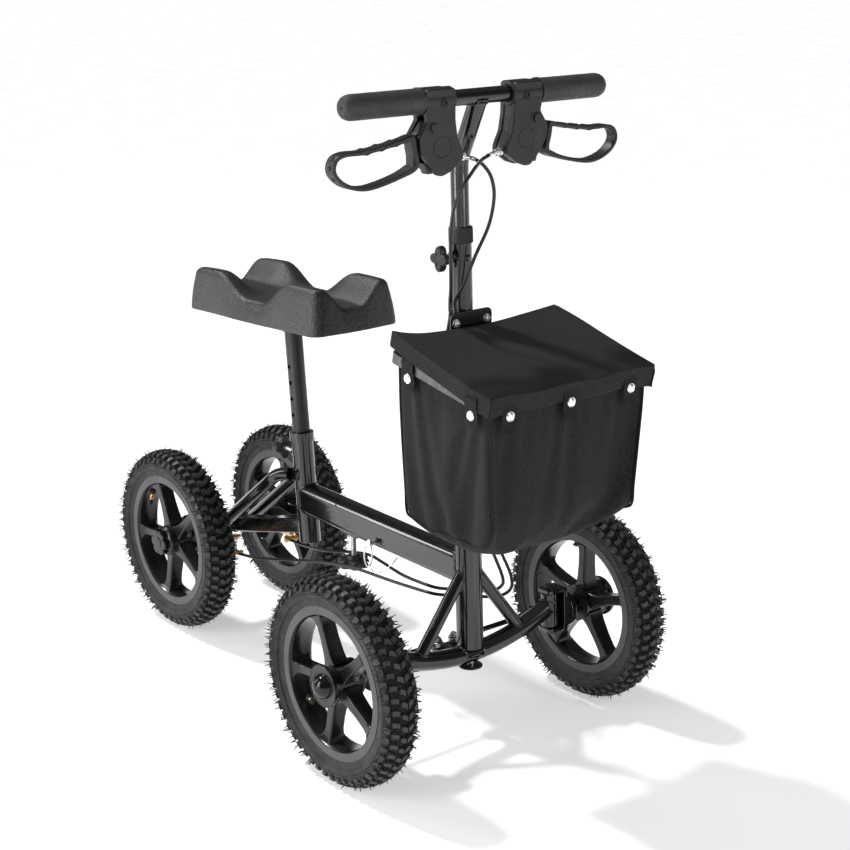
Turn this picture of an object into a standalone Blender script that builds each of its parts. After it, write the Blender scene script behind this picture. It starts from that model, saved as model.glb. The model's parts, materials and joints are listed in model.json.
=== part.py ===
"""Knee scooter: four pneumatic-tyred wheels, a kneeling pad on a height-adjustable post, a steering
column with a T-bar, two brake levers and a soft basket.

Metres. +Z is up, the scooter rides towards -Y, and the rider's right hand is at -X. The origin is on the
ground, under the middle of the scooter's outer box.
"""

from math import atan2, cos, hypot, pi, radians, sin, tan

import bmesh
import bpy
from mathutils import Matrix, Vector

GAP = 0.0003            # clearance where one piece is fitted to another
RUNNING = 0.0005        # clearance round a turning shaft

# Wheels
WHEEL_R = 0.1525
FRONT_AXLE_Y = -0.2835
REAR_AXLE_Y = 0.3489
FRONT_TRACK = 0.4696
REAR_TRACK = 0.2285
RIM_R = 0.1126
TYRE_STEPS = 28
SPOKES = 5
AXLE_R = 0.0060

# Steering axis and seat axis, both leaning back in the plane x = 0
RAKE = radians(2.56)
SEAT_LEAN = radians(6.0)
SEAT_CLAMP = Vector((0.0, 0.1393, 0.3695))

# Front end
COLUMN_R, COLUMN_WALL = 0.0150, 0.0019
COLUMN_TOP_Z = 0.757
HEAD_TUBE_R, HEAD_TUBE_WALL = 0.0198, 0.0030
HEAD_TUBE_TOP_Z = 0.335
STEM_R = 0.0127
BAR_Y, BAR_Z = -0.2921, 0.941
BAR_R, BAR_HALF = 0.0110, 0.2220
GRIP_R, GRIP_END = 0.0160, 0.2280
AXLE_TUBE_R = 0.0140
AXLE_TUBE_LOW_Z = 0.1286
AXLE_TUBE_BOW = 1.38    # rise in metres per square metre of distance from the middle
KINGPIN_X = 0.158
KINGPIN_R = 0.0060
LINK_Z = 0.1225         # height of the pitman plate and of both knuckle arms
LINK_OFFSET = (0.0150, 0.0570)  # from a steering axis to its link pin: outwards and rearwards

# Beam and seat tube
BEAM_W, BEAM_H, BEAM_Z = 0.0340, 0.0500, 0.2600
BEAM_WALL = 0.0022
SEAM_Y = 0.0335
SEAT_TUBE_R, SEAT_TUBE_WALL = 0.0175, 0.0031
POST_R, POST_WALL = 0.0140, 0.0020
POST_HOLE_PITCH = 0.0260

# Knee pad
PAD_HALF_W, PAD_HALF_L, PAD_HUMP, PAD_DIP = 0.0816, 0.1805, 0.0700, 0.0340
PAD_CENTRE = Vector((0.0, 0.1622, 0.5556))
PAD_TILT = -atan2(0.0456, 1.0)

# Basket
RING_HALF_W, RING_BACK_Y, RING_FRONT_Y = 0.1470, -0.2833, -0.4885
RING_BACK_Z, RING_FRONT_Z = 0.6040, 0.5700
BAG_HALF_W, BAG_BACK_Y, BAG_FRONT_Y, BAG_BOTTOM_Z = 0.1425, -0.2935, -0.4840, 0.3660
LID_HALF_W, LID_BACK_Y, LID_FRONT_Y = 0.1505, -0.2905, -0.4965
LID_BACK_Z, LID_FRONT_Z, LID_SKIRT = 0.6350, 0.5920, 0.0190

# Levers
LEVER_PIVOT = Vector((0.0905, -0.2921, 0.9070))
LEVER_STRAP_W, LEVER_STRAP_T = 0.0200, 0.0046

RIGHT, LEFT = -1, 1
SIDE_NAMES = {RIGHT: "right", LEFT: "left"}
X_AXIS, Y_AXIS, Z_AXIS = Vector((1, 0, 0)), Vector((0, 1, 0)), Vector((0, 0, 1))


# ---------------------------------------------------------------- scene and materials

for old in list(bpy.data.objects):
    bpy.data.objects.remove(old)

parts = bpy.data.collections.new("knee_scooter")
cutters = bpy.data.collections.new("cutters")
for collection in (parts, cutters):
    bpy.context.scene.collection.children.link(collection)


def material(name, colour, roughness, metallic=0.0):
    made = bpy.data.materials.new(name)
    made.use_nodes = True
    made.diffuse_color = (*colour, 1.0)
    shader = made.node_tree.nodes["Principled BSDF"]
    shader.inputs["Base Color"].default_value = (*colour, 1.0)
    shader.inputs["Roughness"].default_value = roughness
    shader.inputs["Metallic"].default_value = metallic
    return made


PAINT = material("black_paint", (0.012, 0.012, 0.014), 0.22)
WHEEL_PLASTIC = material("wheel_plastic", (0.020, 0.020, 0.022), 0.45)
TYRE_RUBBER = material("tyre_rubber", (0.022, 0.022, 0.023), 0.85)
GRIP_RUBBER = material("grip_rubber", (0.045, 0.045, 0.048), 0.75)
LEVER_PLASTIC = material("lever_plastic", (0.025, 0.025, 0.027), 0.50)
KNOB_PLASTIC = material("knob_plastic", (0.028, 0.028, 0.030), 0.55)
PAD_FOAM = material("pad_foam", (0.060, 0.060, 0.064), 0.80)
BASKET_FABRIC = material("basket_fabric", (0.020, 0.020, 0.023), 0.90)
RING_STEEL = material("ring_steel", (0.30, 0.30, 0.31), 0.40, 0.6)
CHROME = material("chrome", (0.80, 0.80, 0.82), 0.12, 1.0)
ZINC = material("yellow_zinc", (0.62, 0.44, 0.20), 0.35, 1.0)
CABLE_HOUSING = material("cable_housing", (0.015, 0.015, 0.016), 0.50)


# ---------------------------------------------------------------- modelling helpers

def place(obj, name, look, is_cutter=False):
    """Names the object, gives it its material and puts it with the parts, or hides it with the cutters."""
    obj.name = name
    for old in list(obj.users_collection):
        old.objects.unlink(obj)
    (cutters if is_cutter else parts).objects.link(obj)
    obj.data.materials.clear()
    if look:
        obj.data.materials.append(look)
    if is_cutter:
        obj.hide_render = True
        obj.display_type = "WIRE"
    return obj


def towards(direction, origin):
    """A matrix whose Z axis points along direction and whose origin is at origin."""
    turn = Vector(direction).to_track_quat("Z", "Y").to_matrix().to_4x4()
    return Matrix.Translation(origin) @ turn


def turned(name, profile, origin, direction, look, steps=20, closed=True, is_cutter=False, phase=0.0):
    """A turned piece. The profile is (radius, height) points, down the outer side from top to bottom."""
    mesh = bpy.data.meshes.new(name)
    shape = bmesh.new()
    points = [shape.verts.new((r, 0.0, h)) for r, h in profile]
    pairs = list(zip(points, points[1:]))
    if closed:
        pairs.append((points[-1], points[0]))
    for pair in pairs:
        shape.edges.new(pair)
    shape.to_mesh(mesh)
    shape.free()
    obj = bpy.data.objects.new(name, mesh)
    obj.matrix_world = towards(direction, origin) @ Matrix.Rotation(phase, 4, "Z")
    screw = obj.modifiers.new("turn", "SCREW")
    screw.steps = screw.render_steps = steps
    screw.use_merge_vertices = True
    screw.merge_threshold = 0.00001
    return place(obj, name, look, is_cutter)


def disc(name, radius, height, origin, direction, look, steps=16, is_cutter=False):
    """A solid cylinder that starts at origin and is height long along direction."""
    profile = [(0, height), (radius, height), (radius, 0), (0, 0)]
    return turned(name, profile, origin, direction, look, steps, False, is_cutter)


def pipe(name, start, end, outer, wall, look, steps=20, is_cutter=False):
    length = (end - start).length
    inner = outer - wall
    profile = [(outer, length), (outer, 0), (inner, 0), (inner, length)]
    return turned(name, profile, start, end - start, look, steps, True, is_cutter)


def to_mesh(obj):
    """The curve object as a mesh object with its caps welded, in the same place."""
    bpy.context.view_layer.update()
    graph = bpy.context.evaluated_depsgraph_get()
    mesh = bpy.data.meshes.new_from_object(obj.evaluated_get(graph))
    shape = bmesh.new()
    shape.from_mesh(mesh)
    bmesh.ops.remove_doubles(shape, verts=shape.verts, dist=0.00001)
    bmesh.ops.recalc_face_normals(shape, faces=shape.faces)
    shape.to_mesh(mesh)
    shape.free()
    name, look = obj.name, obj.data.materials[0] if obj.data.materials else None
    made = bpy.data.objects.new(name + "_mesh", mesh)
    made.matrix_world = obj.matrix_world.copy()
    is_cutter = obj.hide_render
    bpy.data.objects.remove(obj)
    return place(made, name, look, is_cutter)


def rod(name, points, radius, look, resolution=4, is_cutter=False, as_mesh=True):
    """A solid round bar or cable along the points."""
    curve = bpy.data.curves.new(name, "CURVE")
    curve.dimensions = "3D"
    curve.bevel_depth = radius
    curve.bevel_resolution = resolution
    curve.use_fill_caps = True
    spline = curve.splines.new("POLY")
    spline.points.add(len(points) - 1)
    for spot, point in zip(spline.points, points):
        spot.co = (*point, 1.0)
    obj = place(bpy.data.objects.new(name, curve), name, look, is_cutter)
    return to_mesh(obj) if as_mesh else obj


def plate(name, outlines, thickness, frame, look, is_cutter=False):
    """A flat piece of the given thickness. The first outline is its edge and the others are holes, in the
    XY plane of frame, and the thickness is centred on that plane."""
    curve = bpy.data.curves.new(name, "CURVE")
    curve.dimensions = "2D"
    curve.fill_mode = "BOTH"
    curve.extrude = thickness / 2
    for outline in outlines:
        spline = curve.splines.new("POLY")
        spline.points.add(len(outline) - 1)
        spline.use_cyclic_u = True
        for spot, (x, y) in zip(spline.points, outline):
            spot.co = (x, y, 0.0, 1.0)
    obj = bpy.data.objects.new(name, curve)
    obj.matrix_world = frame
    return to_mesh(place(obj, name, look, is_cutter))


def block(name, size, centre, look=None, is_cutter=False, turn=Matrix()):
    mesh = bpy.data.meshes.new(name)
    shape = bmesh.new()
    bmesh.ops.create_cube(shape, size=1.0)
    bmesh.ops.scale(shape, vec=size, verts=shape.verts)
    shape.to_mesh(mesh)
    shape.free()
    obj = bpy.data.objects.new(name, mesh)
    obj.matrix_world = Matrix.Translation(centre) @ turn
    return place(obj, name, look, is_cutter)


def boolean(obj, others, operation):
    for other in others:
        modifier = obj.modifiers.new(operation.lower() + "_" + other.name, "BOOLEAN")
        modifier.operation = operation
        modifier.object = other
    return obj


def cut(obj, *others):
    return boolean(obj, others, "DIFFERENCE")


def join(obj, *others):
    return boolean(obj, others, "UNION")


def soften(obj, width, segments=2):
    bevel = obj.modifiers.new("soften", "BEVEL")
    bevel.width = width
    bevel.segments = segments
    bevel.limit_method = "ANGLE"
    bevel.angle_limit = radians(40)
    return obj


def circle(x, y, radius, steps=16, start=0.0, sweep=2 * pi):
    """Points on a circle, or on an arc of it where sweep is less than a full turn."""
    closed = sweep > 2 * pi - 0.001
    spans = steps if closed else steps - 1
    return [(x + radius * cos(start + sweep * i / spans), y + radius * sin(start + sweep * i / spans))
            for i in range(steps)]


def rounded(half_w, half_h, radius, steps=4):
    """A rectangle with rounded corners, anticlockwise."""
    corners = ((1, 1, 0), (-1, 1, 90), (-1, -1, 180), (1, -1, 270))
    points = []
    for sx, sy, start in corners:
        for i in range(steps + 1):
            angle = radians(start + 90 * i / steps)
            points.append((
                sx * (half_w - radius) + radius * cos(angle),
                sy * (half_h - radius) + radius * sin(angle),
            ))
    return points


def lobed(root_r, tip_r, lobes, steps_per_lobe=8):
    """A star knob's outline."""
    count = lobes * steps_per_lobe
    points = []
    for i in range(count):
        wave = 0.5 + 0.5 * cos(2 * pi * i / steps_per_lobe)
        radius = root_r + (tip_r - root_r) * wave ** 0.7
        angle = 2 * pi * i / count
        points.append((radius * cos(angle), radius * sin(angle)))
    return points


def band(path, thickness):
    """The outer and inner outlines of a strap that follows a closed path."""
    outer, inner = [], []
    for i, (x, z) in enumerate(path):
        before, after = path[i - 1], path[(i + 1) % len(path)]
        dx, dz = after[0] - before[0], after[1] - before[1]
        length = hypot(dx, dz)
        nx, nz = dz / length * thickness / 2, -dx / length * thickness / 2
        outer.append((x + nx, z + nz))
        inner.append((x - nx, z - nz))
    return outer, inner


def smooth_path(points, per_span=6):
    """Points along a smooth curve through the given points."""
    ends = [points[0] * 2 - points[1], *points, points[-1] * 2 - points[-2]]
    path = []
    for p0, p1, p2, p3 in zip(ends, ends[1:], ends[2:], ends[3:]):
        for i in range(per_span):
            t = i / per_span
            path.append(0.5 * (
                2 * p1 + (p2 - p0) * t + (2 * p0 - 5 * p1 + 4 * p2 - p3) * t ** 2
                + (3 * p1 - p0 - 3 * p2 + p3) * t ** 3
            ))
    return [*path, points[-1]]


def on_column(z, x=0.0):
    """The point of the steering axis at height z."""
    return Vector((x, FRONT_AXLE_Y + tan(RAKE) * (z - WHEEL_R), z))


def on_seat_axis(z):
    return Vector((0.0, SEAT_CLAMP.y + tan(SEAT_LEAN) * (z - SEAT_CLAMP.z), z))


COLUMN_UP = Vector((0.0, sin(RAKE), cos(RAKE)))
SEAT_UP = Vector((0.0, sin(SEAT_LEAN), cos(SEAT_LEAN)))


def star_knob(name, origin, direction, tip_r, thickness, lobes, shaft_r, shaft_length):
    """A moulded star knob whose face is at origin, with its shaft running back against direction."""
    body = plate(name, [lobed(tip_r * 0.70, tip_r, lobes)], thickness,
                 towards(direction, origin - direction * thickness / 2), KNOB_PLASTIC)
    hub = disc(name + "_hub", tip_r * 0.48, thickness * 0.5, origin - direction * thickness * 1.3,
               direction, None, 16, True)
    shaft = disc(name + "_shaft", shaft_r, shaft_length + thickness / 2,
                 origin - direction * (thickness + shaft_length), direction, None, 12, True)
    return join(body, hub, shaft)


# ---------------------------------------------------------------- wheels

def tyre(name, centre, outward):
    """The tyre's flats, not its edges, are at the rolling radius."""
    grow = 1 / cos(pi / TYRE_STEPS)
    half = [(0.1131, 0.0205), (0.1290, 0.0265), (0.1400, 0.0275), (0.1487, 0.0215), (WHEEL_R, 0.0100)]
    profile = [(r * grow, -w) for r, w in half] + [(r * grow, w) for r, w in reversed(half)]
    profile.reverse()
    return turned(name, profile, centre, X_AXIS * outward, TYRE_RUBBER, TYRE_STEPS, phase=pi / TYRE_STEPS)


def spoke_star(hub_r, tip_r, half_root, half_tip):
    """The outline of all the spokes, as one star."""
    points = []
    for i in range(SPOKES):
        angle = 2 * pi * i / SPOKES + pi / 2
        along, across = Vector((cos(angle), sin(angle))), Vector((-sin(angle), cos(angle)))
        for radius, half in ((hub_r, -half_root), (tip_r, -half_tip), (tip_r, half_tip), (hub_r, half_root)):
            points.append(tuple(along * radius + across * half))
    return points


def wheel(name, centre, outward, hub_profile):
    """Rim, spokes and hub, moulded in one piece. The hub's profile is measured outwards from the centre."""
    side = X_AXIS * outward
    rim = [(RIM_R, 0.0200), (RIM_R, -0.0200), (0.0985, -0.0200), (0.0960, -0.0080), (0.0960, 0.0080),
           (0.0985, 0.0200)]
    body = turned(name, rim, centre, side, WHEEL_PLASTIC, TYRE_STEPS)
    star = plate(name + "_spokes", [spoke_star(0.0240, 0.1000, 0.0105, 0.0095)], 0.0260,
                 towards(side, centre), None, True)
    hub = turned(name + "_hub", hub_profile, centre, side, None, 16, False, True)
    bore = disc(name + "_bore", AXLE_R + RUNNING, 0.1300, centre - side * 0.1, side, None, 16, True)
    return cut(join(body, star, hub), bore)


FRONT_HUB = [(0, 0.0455), (0.0080, 0.0440), (0.0140, 0.0403), (0.0176, 0.0348), (0.0182, 0.0312),
             (0.0305, 0.0312), (0.0310, 0.0290), (0.0300, -0.0230), (0, -0.0230)]
REAR_HUB = [(0, 0.0385), (0.0170, 0.0385), (0.0215, 0.0360), (0.0215, 0.0270), (0.0240, 0.0250),
            (0.0290, 0.0240), (0.0290, -0.0220), (0.0345, -0.0235), (0.0345, -0.0395), (0, -0.0395)]

for side, word in SIDE_NAMES.items():
    front_centre = Vector((side * FRONT_TRACK / 2, FRONT_AXLE_Y, WHEEL_R))
    rear_centre = Vector((side * REAR_TRACK / 2, REAR_AXLE_Y, WHEEL_R))
    wheel("wheel_front_" + word, front_centre, side, FRONT_HUB)
    wheel("wheel_rear_" + word, rear_centre, side, REAR_HUB)
    tyre("tyre_front_" + word, front_centre, side)
    tyre("tyre_rear_" + word, rear_centre, side)


# ---------------------------------------------------------------- front axle and head tube

def axle_tube_path(half, steps):
    """The bowed line of the front axle tube."""
    points = []
    for i in range(steps + 1):
        x = half * (2 * i / steps - 1)
        points.append(Vector((x, FRONT_AXLE_Y, AXLE_TUBE_LOW_Z + AXLE_TUBE_BOW * x * x)))
    return points


SPINDLE_HOLE_R = AXLE_R + RUNNING
SLEEVE_R, SLEEVE_LOW_Z, SLEEVE_TOP_Z = 0.0125, 0.1310, 0.1830

axle_tube = rod("front_axle_tube", axle_tube_path(0.1500, 12), AXLE_TUBE_R, PAINT, 3)
for side, word in SIDE_NAMES.items():
    low, top = on_column(SLEEVE_LOW_Z, side * KINGPIN_X), on_column(SLEEVE_TOP_Z, side * KINGPIN_X)
    join(axle_tube, disc("sleeve_" + word, SLEEVE_R, (top - low).length, low, COLUMN_UP, None, 20, True))
for side, word in SIDE_NAMES.items():
    cut(axle_tube, disc("sleeve_bore_" + word, KINGPIN_R + RUNNING, 0.1500,
                        on_column(0.0800, side * KINGPIN_X), COLUMN_UP, None, 20, True))
cut(axle_tube, disc("spindle_bore", SPINDLE_HOLE_R, 0.0900, on_column(0.0900), COLUMN_UP, None, 20, True))

axle_cutter = rod("front_axle_space", axle_tube_path(0.1500, 12), AXLE_TUBE_R + GAP, None, 3, True)

head_tube = pipe("head_tube", on_column(0.1330), on_column(HEAD_TUBE_TOP_Z), HEAD_TUBE_R, HEAD_TUBE_WALL,
                 PAINT, 20)
cut(head_tube, axle_cutter)
head_cutter = disc("head_tube_space", HEAD_TUBE_R + GAP, 0.2500, on_column(0.1200), COLUMN_UP, None, 20,
                   True)

turned("headset_cup",
       [(0.0215, 0.0080), (0.0215, 0.0003), (0.0165, 0.0003), (0.0165, -0.0150), (0.0153, -0.0150),
        (0.0153, 0.0080)],
       on_column(HEAD_TUBE_TOP_Z), COLUMN_UP, CHROME, 20)

for side, word in SIDE_NAMES.items():
    start = on_column(0.2600, side * 0.0080)
    end = Vector((side * 0.0980, FRONT_AXLE_Y, 0.1420))
    cut(rod("strut_" + word, [start, end], 0.0095, PAINT, 4), head_cutter, axle_cutter)


# ---------------------------------------------------------------- beam, seat tube and rear frame

ALONG_Y = Matrix.Rotation(radians(90), 4, "X")   # its XY plane is the world's XZ plane


def beam_section(name, grow, wall, y_front, y_back, look, is_cutter=False):
    """A rounded rectangular tube along Y, or a solid bar where wall is 0."""
    half_w, half_h = BEAM_W / 2 + grow, BEAM_H / 2 + grow
    outlines = [rounded(half_w, half_h, 0.0120 + grow)]
    if wall:
        outlines.append(rounded(half_w - wall, half_h - wall, 0.0120 + grow - wall))
    frame = Matrix.Translation((0, (y_front + y_back) / 2, BEAM_Z)) @ ALONG_Y
    return plate(name, outlines, y_back - y_front, frame, look, is_cutter)


INSERT_GROW = -(BEAM_WALL + GAP)
BRACKET_FRONT_Y, BRACKET_BACK_Y = -0.0215, 0.1150
SEAM_SLOPE = atan2(BEAM_H, SEAM_Y - BRACKET_FRONT_Y)     # the sleeve's end is cut on this angle
PIN_Y, PIN_Z, PIN_R = -0.0750, 0.2450, 0.0030
BEAM_KNOB_Y = 0.0010

seat_cutter = disc("seat_tube_space", SEAT_TUBE_R + GAP, 0.2300, on_seat_axis(0.1700), SEAT_UP, None, 20,
                   True)
pin_hole = disc("pin_hole", PIN_R + RUNNING, 0.0800, Vector((-0.04, PIN_Y, PIN_Z)), X_AXIS, None, 12, True)

seam_middle = Vector((0, (SEAM_Y + BRACKET_FRONT_Y) / 2, BEAM_Z))
seam_turn = Matrix.Rotation(SEAM_SLOPE, 4, "X")
behind_seam = block("behind_seam", (0.06, 0.16, 0.06), seam_middle + seam_turn @ Vector((0, 0, -0.03)),
                    None, True, seam_turn)
ahead_of_seam = block("ahead_of_seam", (0.06, 0.16, 0.06),
                      seam_middle + seam_turn @ Vector((0, 0, 0.03 - GAP)), None, True, seam_turn)

main_beam = beam_section("main_beam", 0.0, BEAM_WALL, FRONT_AXLE_Y, SEAM_Y + 0.0002, PAINT)
cut(main_beam, head_cutter, behind_seam, pin_hole)

insert_half_w, insert_half_h = BEAM_W / 2 + INSERT_GROW, BEAM_H / 2 + INSERT_GROW
bracket = plate("beam_bracket",
                [rounded(BEAM_W / 2, BEAM_H / 2 + 0.0020, 0.0120),
                 rounded(insert_half_w - 0.0008, insert_half_h - 0.0008, 0.0120 + INSERT_GROW - 0.0008)],
                BRACKET_BACK_Y - BRACKET_FRONT_Y,
                Matrix.Translation((0, (BRACKET_BACK_Y + BRACKET_FRONT_Y) / 2, BEAM_Z)) @ ALONG_Y, None,
                True)
bracket_top = block("bracket_top", (0.06, 0.20, 0.04), (0, 0.06, 0.2630 + 0.02), None, True)
knob_bolt_hole = disc("knob_bolt_hole", 0.0046, 0.0300, Vector((0, BEAM_KNOB_Y, 0.2200)), Z_AXIS, None, 12,
                      True)
cut(bracket, ahead_of_seam, bracket_top)

beam_insert = beam_section("beam_insert", INSERT_GROW, BEAM_WALL, -0.0950, 0.1290, PAINT)
cut(join(beam_insert, bracket), seat_cutter, pin_hole, knob_bolt_hole)

seat_tube = pipe("seat_tube", on_seat_axis(0.1870), on_seat_axis(SEAT_CLAMP.z - 0.0030), SEAT_TUBE_R,
                 SEAT_TUBE_WALL, PAINT, 20)
turned("seat_clamp",
       [(0.0198, 0.0), (0.0198, -0.0150), (SEAT_TUBE_R + GAP, -0.0150), (SEAT_TUBE_R + GAP, -0.0026),
        (POST_R + 0.0004, -0.0026), (POST_R + 0.0004, 0.0)],
       SEAT_CLAMP, SEAT_UP, PAINT, 20)

rear_axle_cutter = disc("rear_axle_space", AXLE_TUBE_R + GAP, 0.2000, Vector((-0.1, REAR_AXLE_Y, WHEEL_R)),
                        X_AXIS, None, 24, True)

for side, word in SIDE_NAMES.items():
    path = smooth_path([
        Vector((side * 0.0120, 0.1330, 0.3000)), Vector((side * 0.0240, 0.1720, 0.2920)),
        Vector((side * 0.0300, 0.2070, 0.2640)), Vector((side * 0.0310, 0.3440, 0.1560)),
    ], 4)
    cut(rod("rear_stay_" + word, path, 0.0105, PAINT, 4), seat_cutter, rear_axle_cutter)

low_start, low_end = Vector((0, 0.1180, 0.2160)), Vector((0, 0.3440, 0.1545))
low_middle = (low_start + low_end) / 2
low_turn = Matrix.Rotation(atan2(low_end.z - low_start.z, low_end.y - low_start.y), 4, "X")
lower_stay = block("rear_lower_stay", (0.0250, (low_end - low_start).length, 0.0250), low_middle, PAINT,
                   False, low_turn)
cut(soften(lower_stay, 0.0030), seat_cutter, rear_axle_cutter)

AXLE_TUBE_HALF = 0.0660
pipe("rear_axle_tube", Vector((-AXLE_TUBE_HALF, REAR_AXLE_Y, WHEEL_R)),
     Vector((AXLE_TUBE_HALF, REAR_AXLE_Y, WHEEL_R)), AXLE_TUBE_R, AXLE_TUBE_R - AXLE_R - GAP, PAINT)
disc("rear_axle", AXLE_R, 2 * 0.1400, Vector((-0.1400, REAR_AXLE_Y, WHEEL_R)), X_AXIS, CHROME, 24)


# ---------------------------------------------------------------- rear brakes

PLATE_X = 0.0690          # inner face of each brake's backing plate
PLATE_T = 0.0025
ARM_T = 0.0030
ARM_PIVOT = (0.3160, 0.1400)
ARM_END = (0.2580, 0.1370)
ANCHOR_END = (0.2600, 0.1660)
ROD_END_R = 0.0045

in_yz = Matrix.Rotation(radians(90), 4, "Y") @ Matrix.Rotation(radians(90), 4, "Z")
for side, word in SIDE_NAMES.items():
    inward = X_AXIS * -side
    plate_middle = side * (PLATE_X + 0.0005 + PLATE_T / 2)
    backing = turned("brake_plate_" + word,
                     [(0.0330, PLATE_T / 2), (0.0330, -PLATE_T / 2), (AXLE_R + GAP, -PLATE_T / 2),
                      (AXLE_R + GAP, PLATE_T / 2)],
                     Vector((plate_middle, REAR_AXLE_Y, WHEEL_R)), X_AXIS * side, ZINC, 24)
    anchor_y, anchor_z = ANCHOR_END
    ear = plate("brake_ear_" + word,
                [[(0.3300, 0.1300), (0.3300, 0.1750), (0.3160, 0.1760), (anchor_y - 0.0040, anchor_z + 0.0050),
                  (anchor_y - 0.0060, anchor_z), (anchor_y - 0.0040, anchor_z - 0.0050), (0.3080, 0.1620),
                  (0.3080, 0.1340)]],
                PLATE_T, Matrix.Translation((plate_middle, 0, 0)) @ in_yz, None, True)
    anchor_pin = disc("anchor_pin_" + word, ROD_END_R, 0.0270, Vector((side * 0.0705, anchor_y, anchor_z)),
                      inward, None, 12, True)
    join(backing, ear, anchor_pin)

    pivot_y, pivot_z = ARM_PIVOT
    end_y, end_z = ARM_END
    arm = plate("brake_arm_" + word,
                [[(pivot_y + 0.0070, pivot_z + 0.0040), (pivot_y, pivot_z + 0.0080),
                  (end_y, end_z + 0.0055), (end_y - 0.0060, end_z), (end_y, end_z - 0.0055),
                  (pivot_y, pivot_z - 0.0080), (pivot_y + 0.0070, pivot_z - 0.0040)]],
                ARM_T, Matrix.Translation((side * (PLATE_X - ARM_T / 2), 0, 0)) @ in_yz, ZINC)
    join(arm, disc("arm_end_" + word, ROD_END_R, 0.0240, Vector((side * (PLATE_X - 0.0010), end_y, end_z)),
                   inward, None, 12, True))


# ---------------------------------------------------------------- steering column and linkage

column_bottom = 0.1620
column_length = (on_column(COLUMN_TOP_Z) - on_column(column_bottom)).length
inner = COLUMN_R - COLUMN_WALL
column = turned("steering_column",
                [(COLUMN_R, column_length), (COLUMN_R, 0), (AXLE_R + GAP, 0), (AXLE_R + GAP, 0.0250),
                 (inner, 0.0300), (inner, column_length)],
                on_column(column_bottom), COLUMN_UP, PAINT, 20)
turned("column_clamp",
       [(STEM_R + 0.0010, 0.0030), (0.0172, 0.0020), (0.0172, -0.0200), (COLUMN_R + GAP, -0.0200),
        (COLUMN_R + GAP, GAP), (STEM_R + 0.0004, GAP), (STEM_R + 0.0004, 0.0030)],
       on_column(COLUMN_TOP_Z), COLUMN_UP, PAINT, 20)

link_x, link_y = LINK_OFFSET
LINK_PIN_R = 0.0035
LINK_PLATE_T = 0.0050


def leaned(origin):
    """A frame at origin whose Z axis is parallel to the steering axis and whose X axis is the world's."""
    return Matrix.Translation(origin) @ Matrix.Rotation(-RAKE, 4, "X")


def link_pin(name, foot):
    """A pin that stands on a link plate and holds a rod end."""
    return disc(name, LINK_PIN_R, 0.0200, foot, COLUMN_UP, None, 12, True)


spindle = disc("steering_spindle", AXLE_R, 0.0830, on_column(0.1065), COLUMN_UP, CHROME, 20)
pitman = plate("pitman_arm", [circle(0, 0, 0.0210, 24)], 0.0045, leaned(on_column(0.1095)), PAINT)
neck = block("pitman_neck", (0.0160, 0.0300, 0.0045), (0, 0, 0), None, True)
neck.matrix_world = leaned(on_column(0.1095)) @ Matrix.Translation((0, 0.0130, 0))
riser = block("pitman_riser", (0.0160, 0.0060, 0.0180), (0, 0, 0), None, True)
riser.matrix_world = leaned(on_column(0.1095)) @ Matrix.Translation((0, 0.0250, 0.0067))
shelf = plate("pitman_shelf",
              [[(-0.0080, 0.0225), (0.0080, 0.0225), (0.0080, 0.0340), (0.0230, 0.0380), (0.0230, 0.0660),
                (-0.0230, 0.0660), (-0.0230, 0.0380), (-0.0080, 0.0340)]],
              LINK_PLATE_T, leaned(on_column(LINK_Z)), None, True)
cut(join(pitman, neck, riser, shelf), disc("pitman_bore", AXLE_R + GAP, 0.0300, on_column(0.1000), COLUMN_UP,
                                          None, 16, True))
for side, word in SIDE_NAMES.items():
    foot = leaned(on_column(LINK_Z)) @ Vector((side * link_x, link_y, 0))
    join(pitman, link_pin("pitman_pin_" + word, foot))


def tie_rod(side, word):
    """A flat bar with one eye over the pitman's pin and one over the knuckle's."""
    lift = LINK_PLATE_T / 2 + RUNNING
    thickness = 0.0090
    frame = leaned(on_column(LINK_Z)) @ Matrix.Translation((side * link_x, link_y, lift + thickness / 2))
    far = side * KINGPIN_X
    near_x, far_x = min(0.0, far), max(0.0, far)
    neck = radians(28)
    outline = (circle(near_x, 0, 0.0085, 12, neck, 2 * pi - 2 * neck)
               + circle(far_x, 0, 0.0085, 12, pi + neck, 2 * pi - 2 * neck))
    return plate("tie_rod_" + word,
                 [outline, circle(near_x, 0, LINK_PIN_R + RUNNING), circle(far_x, 0, LINK_PIN_R + RUNNING)],
                 thickness, frame, CHROME)


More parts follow.
